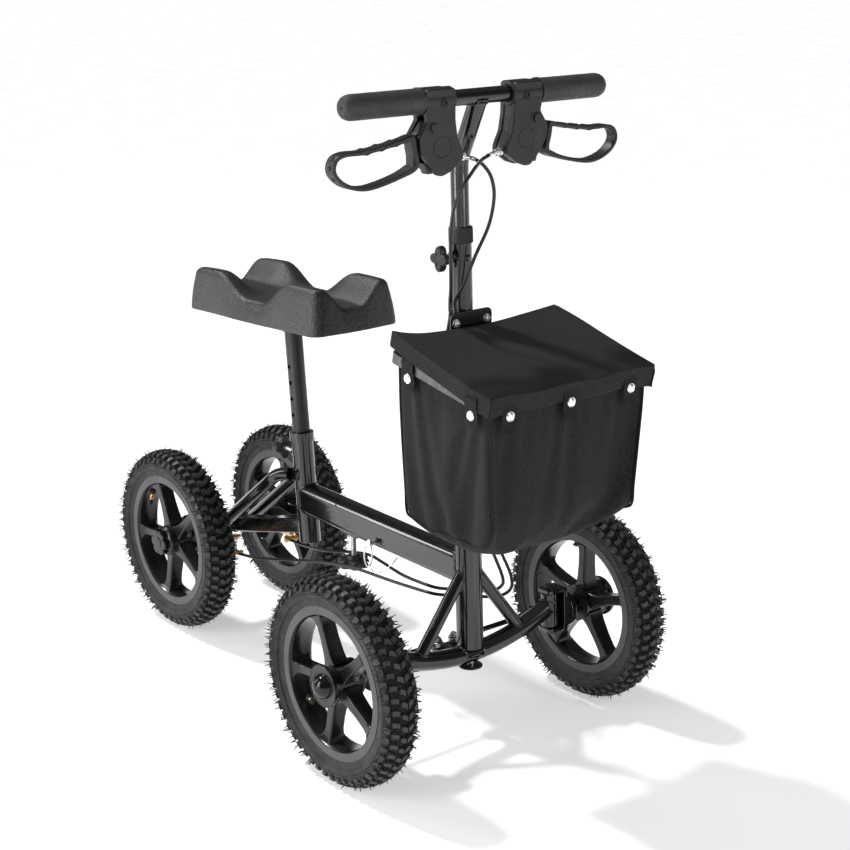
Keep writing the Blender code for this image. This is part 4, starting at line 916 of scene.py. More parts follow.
def seat_collar():
    """The clamp ring round the mouth of the seat tube."""
    shape = Shape()
    top = towards(POST_UP, on_post(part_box("seat_clamp")[1].z - 0.0019))
    ring = [(0.0198, -0.0008), (0.0198, -0.015), (0.0179, -0.0152), (0.0179, -0.0026), (0.0146, -0.0024),
            (0.0146, 0.0), (0.0188, 0.0)]
    shape.turn(eased(ring, 0.0008, 2, True), top, 56, True)
    piece("seat_collar", shape, (PAINT,), "frame", "paint", "seat_clamp")


def rear_stay(side, word):
    shape = Shape()
    path = smooth([(side * 0.012, 0.133, 0.3), (side * 0.024, 0.172, 0.292), (side * 0.03, 0.207, 0.264),
                   (side * 0.031, 0.344, 0.156)], 10)
    shape.tube(path[4:], 0.0105, 30)
    start = path[8]
    shape.bead(seam(start, path[4] - path[8], 0.0105, on_post(0.29), POST_UP, SEAT_R), 0.0017)
    shape.bead(seam(path[-3], path[-1] - path[-3], 0.0105, REAR_AXLE, X, AXLE_R), 0.0017)
    piece("stay_" + word, shape, (PAINT,), "frame", "paint", "rear_stay_" + word)


def lower_stay():
    shape = Shape()
    start, end = Vector((0, 0.118, 0.216)), Vector((0, 0.344, 0.1545))
    way = (end - start).normalized()
    up = X.cross(way)
    section = rounded(0.0125, 0.0125, 0.0032, 5)
    axle_share = (REAR_AXLE.y - AXLE_R - 0.001 - start.y) / (end.y - start.y)

    def at_wall(spot, out):
        """The share of the way along where the stay's skin meets the outside of the seat tube."""
        rise = up * spot.y
        wall = on_post(start.z + rise.z).y + max(0.0, SEAT_R ** 2 - spot.x ** 2) ** 0.5 + out
        return (wall - start.y - rise.y) / (end.y - start.y)

    rows = [[start.lerp(end, at_wall(p, -0.0006)) + X * p.x + up * p.y for p in section]]
    for share in (0.2, 0.6, axle_share):
        rows.append([start.lerp(end, share) + X * p.x + up * p.y for p in section])
    shape.loft(rows, caps=False)
    shape.face([shape.mesh.verts.new(point) for point in rows[-1]])
    edge = eased([(0.0128, 0.0128), (-0.0128, 0.0128), (-0.0128, -0.0128), (0.0128, -0.0128)], 0.004, 12,
                 True)
    shape.bead([start.lerp(end, at_wall(p, 0.0012)) + X * p.x + up * p.y for p in edge], 0.0016)
    shape.bead([start.lerp(end, axle_share) + X * p.x + up * p.y for p in edge], 0.0016)
    piece("lower_stay", shape, (PAINT,), "frame", "paint", "rear_lower_stay", angle=50)


def rear_axle():
    shape = Shape()
    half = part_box("rear_axle_tube")[1].x
    tube = [(AXLE_R, half), (AXLE_R, -half), (0.0066, -half), (0.0066, half)]
    shape.turn(eased(tube, 0.001, 2, True), towards(X, REAR_AXLE), 48, True)
    for side in SIDES:
        collar = towards(X * side, REAR_AXLE + X * side * (half - 0.0085))
        shape.turn(eased([(0.0165, 0), (0.0165, 0.008), (AXLE_R, 0.008), (AXLE_R, 0)], 0.0008, 2, True),
                   collar, 48, True)
    piece("rear_crosstube", shape, (PAINT,), "frame", "paint", "rear_axle_tube")

    bar = Shape()
    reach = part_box("rear_axle")[1].x
    bar.turn(eased([(0, -reach), (0.0059, -reach), (0.0059, reach), (0, reach)], 0.0008, 2),
             towards(X, REAR_AXLE), 28)
    piece("rear_shaft", bar, (CHROME,), "frame", "chrome", "rear_axle")


main_beam()
beam_socket()
seat_tube()
seat_collar()
for side, word in SIDES.items():
    rear_stay(side, word)
lower_stay()
rear_axle()


# ---------------------------------------------------------------- rear brakes

PLATE_T, ARM_T = 0.0025, 0.003
PLATE_X = abs(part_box("brake_plate_right")[0].x) - PLATE_T
ARM_X = PLATE_X - 0.0005 - ARM_T / 2
ARM_END, ANCHOR_END = (0.258, 0.137), (0.26, 0.166)


def in_yz(x):
    """A frame whose XY plane is the world's YZ plane at x."""
    return placed((x, 0, 0), Y, Z, X)


def spring(shape, start, end, radius, wire, turns):
    """An extension spring between two points, with its end hooks."""
    place = towards(end - start, start, X)
    length = (end - start).length
    points = []
    for i in range(turns * 12 + 1):
        angle = 2 * pi * i / 12
        points.append(place @ Vector((radius * cos(angle), radius * sin(angle),
                                      length * (0.16 + 0.68 * i / (turns * 12)))))
    points = [start, place @ Vector((0, 0, length * 0.08)), *points, place @ Vector((0, 0, length * 0.92)),
              end]
    shape.tube(points, wire, 6)


for side, word in SIDES.items():
    pivot = joints[f"brake_arm_{word}_pull"]["pos_m"]
    shape = Shape()
    hub = towards(X * side, (side * (PLATE_X + PLATE_T / 2), REAR_AXLE.y, REAR_AXLE.z))
    dish = [(0.033, 0.0012), (0.0328, -0.0012), (0.026, -0.0012), (0.024, -0.0022), (0.0066, -0.0022),
            (0.0066, 0.0008), (0.0235, 0.0008), (0.0258, 0.0012)]
    shape.turn(eased(dish, 0.0004, 2, True), hub, 56, True)
    shape.nut(towards(X * -side, (side * (PLATE_X - 0.0012), REAR_AXLE.y, REAR_AXLE.z))
              @ Matrix.Translation((0, 0, -0.0005)), 0.017, 0.003, 1.1)
    ay, az = ANCHOR_END
    ear = [(0.328, 0.13), (0.328, 0.175), (0.316, 0.1765), (ay - 0.002, az + 0.0062), (ay - 0.0065, az),
           (ay - 0.002, az - 0.0058), (0.308, 0.162), (0.308, 0.134)]
    shape.plate([eased(ear, 0.004, 4, True)], PLATE_T, in_yz(side * (PLATE_X + PLATE_T / 2)), 0.0005)
    shape.look = 1
    anchor = towards(X * -side, (side * PLATE_X, ay, az))
    shape.turn(eased([(0.0045, 0), (0.0045, 0.018), (0.0033, 0.0185), (0.0033, 0.024), (0, 0.024)], 0.0004,
                     2), anchor, 24)
    shape.nut(anchor @ Matrix.Translation((0, 0, 0.015)), 0.008, 0.0035)
    piece("brake_backing_" + word, shape, (SATIN, YELLOW_ZINC), "frame", "zinc", "brake_plate_" + word)

    arm = Shape()
    py, pz = pivot[1], pivot[2]
    ey, ez = ARM_END
    outline = [(py + 0.0075, pz), (py + 0.004, pz + 0.0078), (py - 0.004, pz + 0.0072),
               (ey + 0.004, ez + 0.0052), (ey - 0.0055, ez + 0.003), (ey - 0.0055, ez - 0.003),
               (ey + 0.004, ez - 0.0052), (py - 0.004, pz - 0.0072), (py + 0.004, pz - 0.0078)]
    arm.plate([eased(outline, 0.0035, 4, True)], ARM_T, in_yz(side * ARM_X), 0.0005)
    inner_face = side * (ARM_X - ARM_T / 2)
    arm.nut(towards(X * -side, (inner_face, py, pz)), 0.01, 0.0045)
    arm.nut(towards(X * -side, (inner_face, ey, ez)), 0.0075, 0.0032)
    pin = towards(X * -side, (inner_face, ey, ez))
    arm.turn(eased([(0.003, 0.003), (0.003, 0.019), (0.0042, 0.0192), (0.0042, 0.0225), (0, 0.0225)], 0.0004,
                   2), pin, 20)
    barrel = towards(-Y, (side * 0.052, ey + 0.01, ez))
    ribbed = [(0.0044 + (0.0005 if k % 2 else 0.0), 0.0012 * k) for k in range(9)]
    arm.turn([(0, -0.001), *ribbed, (0.003, 0.011), (0.003, 0.015), (0, 0.015)], barrel, 24)
    arm.tube([Vector((side * 0.052, ey + 0.006, ez)), Vector((inner_face, ey + 0.003, ez))], 0.003, 12)
    spring_x = side * (PLATE_X - 0.012)
    piece("brake_pull_" + word, arm, (YELLOW_ZINC,), f"brake_arm_{word}", "zinc", "brake_arm_" + word)

    coil = Shape()
    ends = Vector((spring_x, ey + 0.0004, ez + 0.0038)), Vector((spring_x, ay + 0.0004, az - 0.0038))
    spring(coil, *ends, 0.003, 0.00065, 8)
    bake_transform(piece("brake_spring_" + word, coil, (STEEL,), None, "zinc"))


# ---------------------------------------------------------------- steering column and linkage

COLUMN_R, STEM_R = 0.015, 0.0127
COLUMN_LOW_Z, COLUMN_TOP_Z = 0.162, 0.757
LINK_Z, LINK_X, LINK_Y, LINK_T = 0.1225, 0.015, 0.057, 0.005


def leaned(origin):
    """A frame at origin whose Z axis is parallel to the steering axis and whose X axis is the world's."""
    return Matrix.Translation(origin) @ Matrix.Rotation(-RAKE, 4, "X")


def column():
    shape = Shape()
    low = on_column(COLUMN_LOW_Z)
    length = (on_column(COLUMN_TOP_Z) - low).length
    shape.turn(eased([(COLUMN_R, length), (COLUMN_R, 0), (0.007, 0), (0.007, 0.025), (0.0131, 0.03),
                      (0.0131, length)], 0.0006, 2, True), towards(COLUMN_UP, low), 56, True)
    button = towards(-Y, on_column(0.7175) - Y * (COLUMN_R - 0.0008))
    shape.turn(eased([(0.0052, 0), (0.0052, 0.0006), (0.0043, 0.0008), (0.0042, 0.0026), (0.003, 0.0036),
                      (0, 0.0038)], 0.0004, 2), button, 28)
    boss = towards(-X, on_column(joints["column_knob_turn"]["pos_m"][2]) - X * (COLUMN_R - 0.001))
    shape.turn(eased([(0.0085, 0), (0.008, 0.005), (0.0045, 0.005), (0.0045, 0)], 0.0006, 2, True), boss, 28,
               True)
    piece("column_tube", shape, (PAINT,), "column", "paint", "steering_column")


def column_collar():
    shape = Shape()
    top = towards(COLUMN_UP, on_column(COLUMN_TOP_Z))
    ring = [(0.0131, 0.0026), (0.015, 0.003), (0.0168, 0.0014), (0.0172, -0.001), (0.0172, -0.019),
            (0.0166, -0.02), (0.0154, -0.02), (0.0154, 0.0004), (0.0131, 0.0004)]
    shape.turn(eased(ring, 0.0005, 2, True), top, 56, True)
    piece("column_collar", shape, (SOFT_RUBBER,), "column", "paint", "column_clamp")


def pitman():
    shape = Shape()
    low = leaned(on_column(0.1095))
    shape.turn(eased([(0.0066, 0.0022), (0.016, 0.0022), (0.0176, 0.0012), (0.0178, -0.0012),
                      (0.014, -0.0022), (0.0066, -0.0022)], 0.0008, 2, True), low, 48, True)
    shape.box((0.016, 0.03, 0.0045), low @ Matrix.Translation((0, 0.013, 0)), 0.003, 0.0008)
    shape.box((0.016, 0.006, 0.018), low @ Matrix.Translation((0, 0.025, 0.0067)), 0.002, 0.0008)
    outline = [(-0.008, 0.0225), (0.008, 0.0225), (0.008, 0.034), (0.023, 0.038), (0.023, 0.066),
               (-0.023, 0.066), (-0.023, 0.038), (-0.008, 0.034)]
    shelf = leaned(on_column(LINK_Z))
    shape.plate([eased(outline, 0.006, 4, True)], LINK_T, shelf, 0.0008)
    shape.look = 1
    for side in SIDES:
        foot = shelf @ Matrix.Translation((side * LINK_X, LINK_Y, 0.013))
        shape.turn([(0.0034, -0.012), (0.0034, 0.0)], foot, 20)
        shape.nut(foot, 0.0095, 0.005)
    piece("pitman_plate", shape, (SATIN, STEEL), "column", "paint", "pitman_arm")

    spindle = Shape()
    foot = on_column(0.1065)
    spindle.turn(eased([(0, 0), (0.0059, 0), (0.0059, 0.0828), (0, 0.0828)], 0.0006, 2),
                 towards(COLUMN_UP, foot), 28)
    piece("spindle", spindle, (CHROME,), "column", "chrome", "steering_spindle")


def tie_rod(side, word):
    """A round rod with a ball-joint end over the pitman's pin and one over the knuckle's."""
    shape = Shape()
    lift = LINK_T / 2 + 0.0005 + 0.0045
    near = leaned(on_column(LINK_Z)) @ Matrix.Translation((side * LINK_X, LINK_Y, lift))
    far = near @ Matrix.Translation((side * KINGPIN_X, 0, 0))
    for eye in (near, far):
        shape.turn(eased([(0.004, 0.0045), (0.004, -0.0045), (0.0084, -0.0036), (0.0084, 0.0036)], 0.0012, 3,
                         True), eye, 32, True)
    start, end = near.translation, far.translation
    way = (end - start).normalized()
    shape.tube([start + way * 0.0075, start + way * 0.026], 0.004, 18)
    shape.tube([end - way * 0.0075, end - way * 0.026], 0.004, 18)
    for spot in (start + way * 0.026, end - way * 0.03):
        shape.plate([circle(0.0052, 6)], 0.004, towards(way, spot + way * 0.002), 0.0004)
    shape.look = 1
    shape.tube([start + way * 0.0285, start + way * 0.0295, end - way * 0.0295, end - way * 0.0285], 0.0042,
               20)
    piece("tie_link_" + word, shape, (STEEL, PAINT), f"tie_rod_{word}", "chrome", "tie_rod_" + word)


def knuckle(side, word):
    """A bent yoke round the kingpin sleeve, with the kingpin, the hub flange, the stub axle and the arm."""
    shape = Shape()
    at = leaned(on_column(middle("tyre_front_right").z, side * KINGPIN_X))
    turned_up = at @ placed((0, 0, 0), Y, Z, X)
    shape.plate([rounded(0.017, 0.035, 0.0045, 4)], 0.007,
                turned_up @ Matrix.Translation((0, 0.003, side * 0.019)), 0.001)
    for z in (0.035, -0.026):
        shape.box((0.034, 0.03, 0.006), at @ Matrix.Translation((side * 0.005, 0, z)), 0.007, 0.001)
    outward = at @ placed((0, 0, 0), Z.cross(X * side), Z, X * side)
    hub_x = abs(middle("tyre_front_right").x) - KINGPIN_X
    flange = [(0.0, 0.0205), (0.029, 0.0225), (0.029, 0.03), (0.0272, 0.032), (0.0165, 0.032),
              (0.015, 0.0335), (0.015, hub_x - 0.0265), (0.006, hub_x - 0.0262), (0.0058, hub_x + 0.025),
              (0.0, hub_x + 0.0252)]
    shape.turn(eased(flange, 0.0008, 2), outward, 48)
    for i in range(4):
        angle = pi / 4 + i * pi / 2
        spot = outward @ Matrix.Translation((0.0215 * cos(angle), 0.0215 * sin(angle), 0.0318))
        shape.bolt(spot, 0.0034, 0.0022)
    arm = leaned(on_column(LINK_Z, side * KINGPIN_X))
    shape.box((0.016, LINK_Y + 0.008, LINK_T), arm @ Matrix.Translation((side * LINK_X, LINK_Y / 2, 0)),
              0.006, 0.001)
    shape.look = 1
    shape.turn(eased([(0.0059, -0.03), (0.0059, 0.039), (0, 0.039)], 0.0005, 2), at, 24)
    shape.nut(at @ Matrix.Translation((0, 0, 0.038)), 0.014, 0.005)
    shape.nut(at @ Matrix.Rotation(pi, 4, "X") @ Matrix.Translation((0, 0, 0.029)), 0.014, 0.005)
    pin = arm @ Matrix.Translation((side * LINK_X, LINK_Y, 0.0125))
    shape.turn([(0.0034, -0.012), (0.0034, 0.0)], pin, 20)
    shape.nut(pin, 0.0095, 0.005)
    piece("knuckle_yoke_" + word, shape, (PAINT, SATIN), f"knuckle_{word}", "paint", "knuckle_" + word)


column()
column_collar()
pitman()
for side, word in SIDES.items():
    tie_rod(side, word)
    knuckle(side, word)


# ---------------------------------------------------------------- stem, handlebar, grips

BAR = middle("handlebar")
BAR_R = 0.011
BAR_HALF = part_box("handlebar")[1].x


def stem():
    shape = Shape()
    path = [on_column(0.52), on_column(0.62), on_column(0.72), *smooth([
        on_column(0.832), (0, -0.2555, 0.856), (0, -0.272, 0.893), BAR + Vector((0, 0, -0.004))], 9)]
    shape.tube(path, STEM_R, 40)
    shape.bead(seam(path[-7], path[-1] - path[-7], STEM_R, BAR, X, BAR_R), 0.0019)
    piece("stem_shell", shape, (PAINT,), "stem", "paint", "stem_tube")

    bar = Shape()
    bar.turn([(BAR_R, h * BAR_HALF) for h in (-1, -0.5, 0, 0.5, 1)], towards(X, BAR), 48)
    piece("crossbar", bar, (PAINT,), "stem", "paint", "handlebar")


def grip(side, word):
    """A moulded grip with shallow crescent grooves, a rolled inner lip and a small hole in its round end."""
    shape = Shape()
    low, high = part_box("grip_" + word)
    start = min(abs(low.x), abs(high.x))
    length, skin = high.x - low.x, (high.z - low.z) / 2 * 1.07
    profile = [(0.0, skin * 1.06), (0.003, skin * 1.07), (0.0042, skin)]
    profile += [(0.0042 + (length - 0.02) * i / 96, skin) for i in range(1, 97)]
    profile += [(length - 0.0158 + 0.0158 * sin(a), skin * (0.34 + 0.66 * cos(a) ** 0.85))
                for a in (radians(7.5 * i) for i in range(1, 12))]
    profile += [(length - 0.0004, 0.0016), (length - 0.006, 0.0013)]
    rows = []
    steps = 72
    for along_x, r in profile:
        row = []
        for i in range(steps):
            angle = 2 * pi * i / steps
            depth = 0.0
            facing = cos(angle - pi)
            for k in range(8):
                centre = 0.024 + 0.0115 * k
                bowed = centre + 0.0045 * (1 - facing) * (1 if k % 2 else 0.15)
                if facing > 0.25:
                    fade = min(1.0, (facing - 0.25) * 5)
                    depth += 0.00055 * fade * exp(-((along_x - bowed) / 0.0009) ** 2)
            r_here = r - depth
            row.append(Vector((side * (start + along_x), BAR.y + r_here * cos(angle),
                               BAR.z + r_here * sin(angle))))
        rows.append(row)
    shape.loft(rows, caps=True)
    piece("handgrip_" + word, shape, (GRIP,), "stem", "grip", "grip_" + word, angle=60)


stem()
for side, word in SIDES.items():
    grip(side, word)


# ---------------------------------------------------------------- brake levers

HOUSING_OUTLINE = [(0.0555, 0.957), (0.052, 0.954), (0.052, 0.915), (0.048, 0.89), (0.0385, 0.871),
                   (0.0385, 0.862), (0.059, 0.847), (0.074, 0.842), (0.082, 0.843), (0.096, 0.856),
                   (0.112, 0.879), (0.113, 0.896), (0.099, 0.916), (0.1015, 0.925), (0.1015, 0.954),
                   (0.098, 0.957)]
LEVER_PATH = [(0.121, 0.896), (0.1185, 0.88), (0.115, 0.862), (0.124, 0.854), (0.156, 0.844),
              (0.191, 0.8375), (0.213, 0.839), (0.232, 0.846), (0.245, 0.857), (0.2485, 0.868),
              (0.243, 0.879), (0.229, 0.8835), (0.205, 0.8835), (0.188, 0.885), (0.154, 0.89)]
TONGUE = [(0.084, 0.915), (0.08, 0.907), (0.083, 0.898), (0.09, 0.874), (0.118, 0.864), (0.1215, 0.895),
          (0.11, 0.899), (0.097, 0.915), (0.0905, 0.9175)]
HOUSING_HALF = 0.016


def in_xz(y):
    """A frame whose X is the world's X and whose Y is the world's Z, at the given y."""
    return placed((0, y, 0), X, Z, -Y)


def mirrored(points, side):
    made = [Vector((side * x, z)) for x, z in points]
    return made if side > 0 else made[::-1]


def housing(side, word):
    """Two moulded cheeks with the lever's slot between them, clamped round the bar."""
    shape = Shape()
    outline = mirrored(HOUSING_OUTLINE, side)
    wall = 0.0088
    for sign in (1, -1):
        shape.plate([eased(outline, 0.0028, 4, True)], wall, in_xz(BAR.y + sign * (HOUSING_HALF - wall / 2)),
                    0.0018)
    core = [(0.0535, 0.956), (0.0535, 0.915), (0.05, 0.891), (0.04, 0.87), (0.04, 0.863), (0.06, 0.849),
            (0.0705, 0.8455), (0.0705, 0.9215), (0.1, 0.926), (0.1, 0.956)]
    shape.plate([eased(mirrored(core, side), 0.002, 3, True)], 2 * HOUSING_HALF - wall, in_xz(BAR.y), 0.0005)
    sleeve = towards(X * side, (side * 0.0505, BAR.y, BAR.z))
    shape.turn(eased([(0.0168, 0), (0.0168, 0.0518), (0.0112, 0.0518), (0.0112, 0)], 0.0012, 3, True), sleeve,
               56, True)
    front = BAR.y - HOUSING_HALF
    pivot = joints[f"brake_lever_{word}_squeeze"]["pos_m"]
    disc_at = towards(-Y, (pivot[0], front + 0.0004, pivot[2]))
    shape.turn(eased([(0.0078, 0), (0.0078, 0.0008), (0.007, 0.0012), (0, 0.0012)], 0.0003, 2), disc_at, 40)
    shape.plate([circle(0.0064, 6, start=0.3)], 0.0034, disc_at @ Matrix.Translation((0, 0, 0.0026)), 0.0007)
    shape.turn(eased([(0.006, 0), (0.006, 0.002), (0, 0.002)], 0.0006, 2),
               towards(Y, (pivot[0], BAR.y + HOUSING_HALF - 0.0004, pivot[2])), 32)
    badge = placed((side * 0.0745, front + 0.0001, 0.88), X, Z, -Y)
    oval = [badge @ Vector((0.0152 * cos(a), 0.0136 * sin(a), 0.0))
            for a in (2 * pi * i / 72 for i in range(72))]
    shape.tube(oval, 0.0008, 8, True)
    stop = [(0.089, 0.854), (0.0975, 0.8625), (0.101, 0.859), (0.096, 0.8455), (0.0895, 0.8475)]
    shape.plate([eased(mirrored(stop, side), 0.0018, 3, True)], 0.013, in_xz(BAR.y - 0.004), 0.001)
    shape.look = 1
    clamp = towards(-Y, (side * 0.0725, front + 0.0006, BAR.z - 0.002))
    shape.turn(eased([(0.0076, 0), (0.0074, 0.0014), (0.0064, 0.0014), (0.0062, 0.0002), (0, 0.0002)], 0.0003,
                     2), clamp, 36)
    shape.bolt(clamp, 0.0052, 0.0034)
    piece("lever_housing_" + word, shape, (LEVER, SOFT_RUBBER), "stem", "lever", "brake_housing_" + word)


def lever(side, word):
    """The squeezed loop: a wide moulded strap with finger ribs, and the tongue that turns on the pivot."""
    shape = Shape()
    flat = smooth([Vector((x, z)) for x, z in [*LEVER_PATH, LEVER_PATH[0]]], 6)[:-1]
    line = [Vector((side * p.x, BAR.y - 0.004, p.y)) for p in flat]
    count = len(line)
    rows = []
    for i, place in enumerate(along(line, True, Y)):
        spot = flat[i]
        thick = 0.0027 + 0.0012 * exp(-((spot.x - 0.122) / 0.012) ** 2)
        for rib_x in (0.15, 0.172, 0.196):
            if spot.y > 0.868:
                thick += 0.0016 * exp(-((spot.x - rib_x) / 0.0036) ** 2)
        wide = 0.0098 + 0.0004 * sin(2 * pi * i / count)
        rows.append([place @ Vector((p.x, p.y, 0)) for p in rounded(thick, wide, 0.0018, 4)])
    shape.loft(rows, closed=True)
    for x, z in ((0.2435, 0.8795), (0.2492, 0.868), (0.243, 0.854)):
        nub = Vector((side * x, BAR.y - 0.004, z))
        out = Vector((side, 0, (z - 0.868) * 60)).normalized()
        shape.turn(eased([(0.0034, 0), (0.003, 0.0034), (0, 0.004)], 0.0008, 3), towards(out, nub), 20)
    shape.plate([eased(mirrored(TONGUE, side), 0.003, 4, True)], 0.012, in_xz(BAR.y), 0.0012)
    web = [(0.115, 0.893), (0.121, 0.896), (0.1205, 0.856), (0.114, 0.86)]
    shape.plate([eased(mirrored(web, side), 0.0015, 3, True)], 0.017, in_xz(BAR.y - 0.0035), 0.0012)
    piece("lever_loop_" + word, shape, (LEVER,), f"lever_{word}", "lever", "brake_lever_" + word, angle=45)


def adjuster(side, word):
    """A knurled barrel adjuster with its lock nut and the cable's ferrule."""
    shape = Shape()
    way = Vector((-side * 0.95, 0, -0.2)).normalized()
    place = towards(way, Vector((side * 0.0382, BAR.y - 0.0035, 0.865)) + way * 0.0006)
    shape.plate([circle(0.0062, 6)], 0.0034, place @ Matrix.Translation((0, 0, 0.0018)), 0.0004)
    shape.turn(eased([(0.004, 0.003), (0.004, 0.0046), (0.005, 0.0048), (0.005, 0.0104), (0.0038, 0.0112),
                      (0.0034, 0.0116), (0.0032, 0.018), (0.0029, 0.019), (0, 0.019)], 0.0004, 2), place, 32)
    for i in range(16):
        angle = 2 * pi * i / 16
        spot = Vector((0.005 * cos(angle), 0.005 * sin(angle), 0))
        shape.tube([place @ (spot + Z * 0.0054), place @ (spot + Z * 0.01)], 0.0005, 6)
    piece("barrel_adjuster_" + word, shape, (CHROME,), "stem", "chrome", "cable_adjuster_" + word)


for side, word in SIDES.items():
    housing(side, word)
    lever(side, word)
    adjuster(side, word)


# ---------------------------------------------------------------- basket: ring, bracket, bag and lid

RING_BACK, RING_FRONT = Vector((0, -0.2833, 0.604)), Vector((0, -0.4885, 0.57))
RING_HALF_W, RING_T, RING_TALL = 0.147, 0.003, 0.015
RING_LENGTH = (RING_BACK - RING_FRONT).length
RING_TILT = atan2(RING_BACK.z - RING_FRONT.z, RING_BACK.y - RING_FRONT.y)
RING_FRAME = Matrix.Translation((RING_BACK + RING_FRONT) / 2) @ Matrix.Rotation(RING_TILT, 4, "X")
BAG_LOW, BAG_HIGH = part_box("basket_bag")
BAG_HALF_W, BAG_BOTTOM = BAG_HIGH.x, BAG_LOW.z
BAG_STEP = 0.0068
BAG_CORNER_BACK, BAG_CORNER_FRONT = 0.052, 0.05
SNAP_SIDE_Y, SNAP_FRONT_X = (-0.327, -0.457), (-0.113, -0.006, 0.104)


def ring_z(y):
    return RING_FRONT.z + (y - RING_FRONT.y) * tan(RING_TILT)


def soft_corner(a, b, half_a, half_b, radius):
    """Moves a point of a rectangle's grid so that the rectangle's corners become round."""
    over_a, over_b = abs(a) - (half_a - radius), abs(b) - (half_b - radius)
    if over_a <= 0 or over_b <= 0:
        return a, b
    p, q = over_a / radius, over_b / radius
    p, q = p * (1 - q * q / 2) ** 0.5, q * (1 - p * p / 2) ** 0.5
    sign_a, sign_b = (1 if a > 0 else -1), (1 if b > 0 else -1)
    return sign_a * (half_a - radius + p * radius), sign_b * (half_b - radius + q * radius)


def basket_ring():
    shape = Shape()
    shape.plate([rounded(RING_HALF_W, RING_LENGTH / 2, 0.012, 8),
                 rounded(RING_HALF_W - RING_T, RING_LENGTH / 2 - RING_T, 0.009, 8)], RING_TALL, RING_FRAME,
                0.0007)
    piece("basket_hoop", shape, (RING_STEEL,), "column", "ring", "basket_ring")

    bracket = Shape()
    plate_at = placed((0, -0.28, 0.619), X, Z, -Y)
    bracket.plate([rounded(0.0375, 0.026, 0.008)], 0.003, plate_at, 0.0007)
    bracket.box((0.02, 0.044, 0.012), plate_at @ Matrix.Translation((0, 0, -0.0068)), 0.003, 0.001)
    bracket.look = 1
    for x in (-0.028, 0.028):
        spot = plate_at @ Matrix.Translation((x, 0.011, 0.0014))
        bracket.nut(spot, 0.009, 0.0036, 1.2)
    piece("basket_mount", bracket, (PAINT, CHROME), "column", "paint", "basket_bracket")


def fold(x, y, z, across):
    """How far the cloth leans out in folds below its snaps, at a distance across the wall."""
    drop = max(0.0, ring_z(y) - 0.008 - z)
    hung = 0.0
    for centre, lean in across:
        offset = (centre[1] - centre[0]) - lean * drop
        wide = 0.012 + 0.16 * drop
        fade = min(1.0, drop / 0.03) * exp(-drop / 0.13)
        hung += 0.0044 * fade * exp(-(offset / wide) ** 2) * cos(offset / (0.0085 + 0.05 * drop) * 2.2)
    loose = noise.noise(Vector((x * 13, y * 13, z * 9))) * 0.0048
    return hung + loose * min(1.0, drop / 0.05)


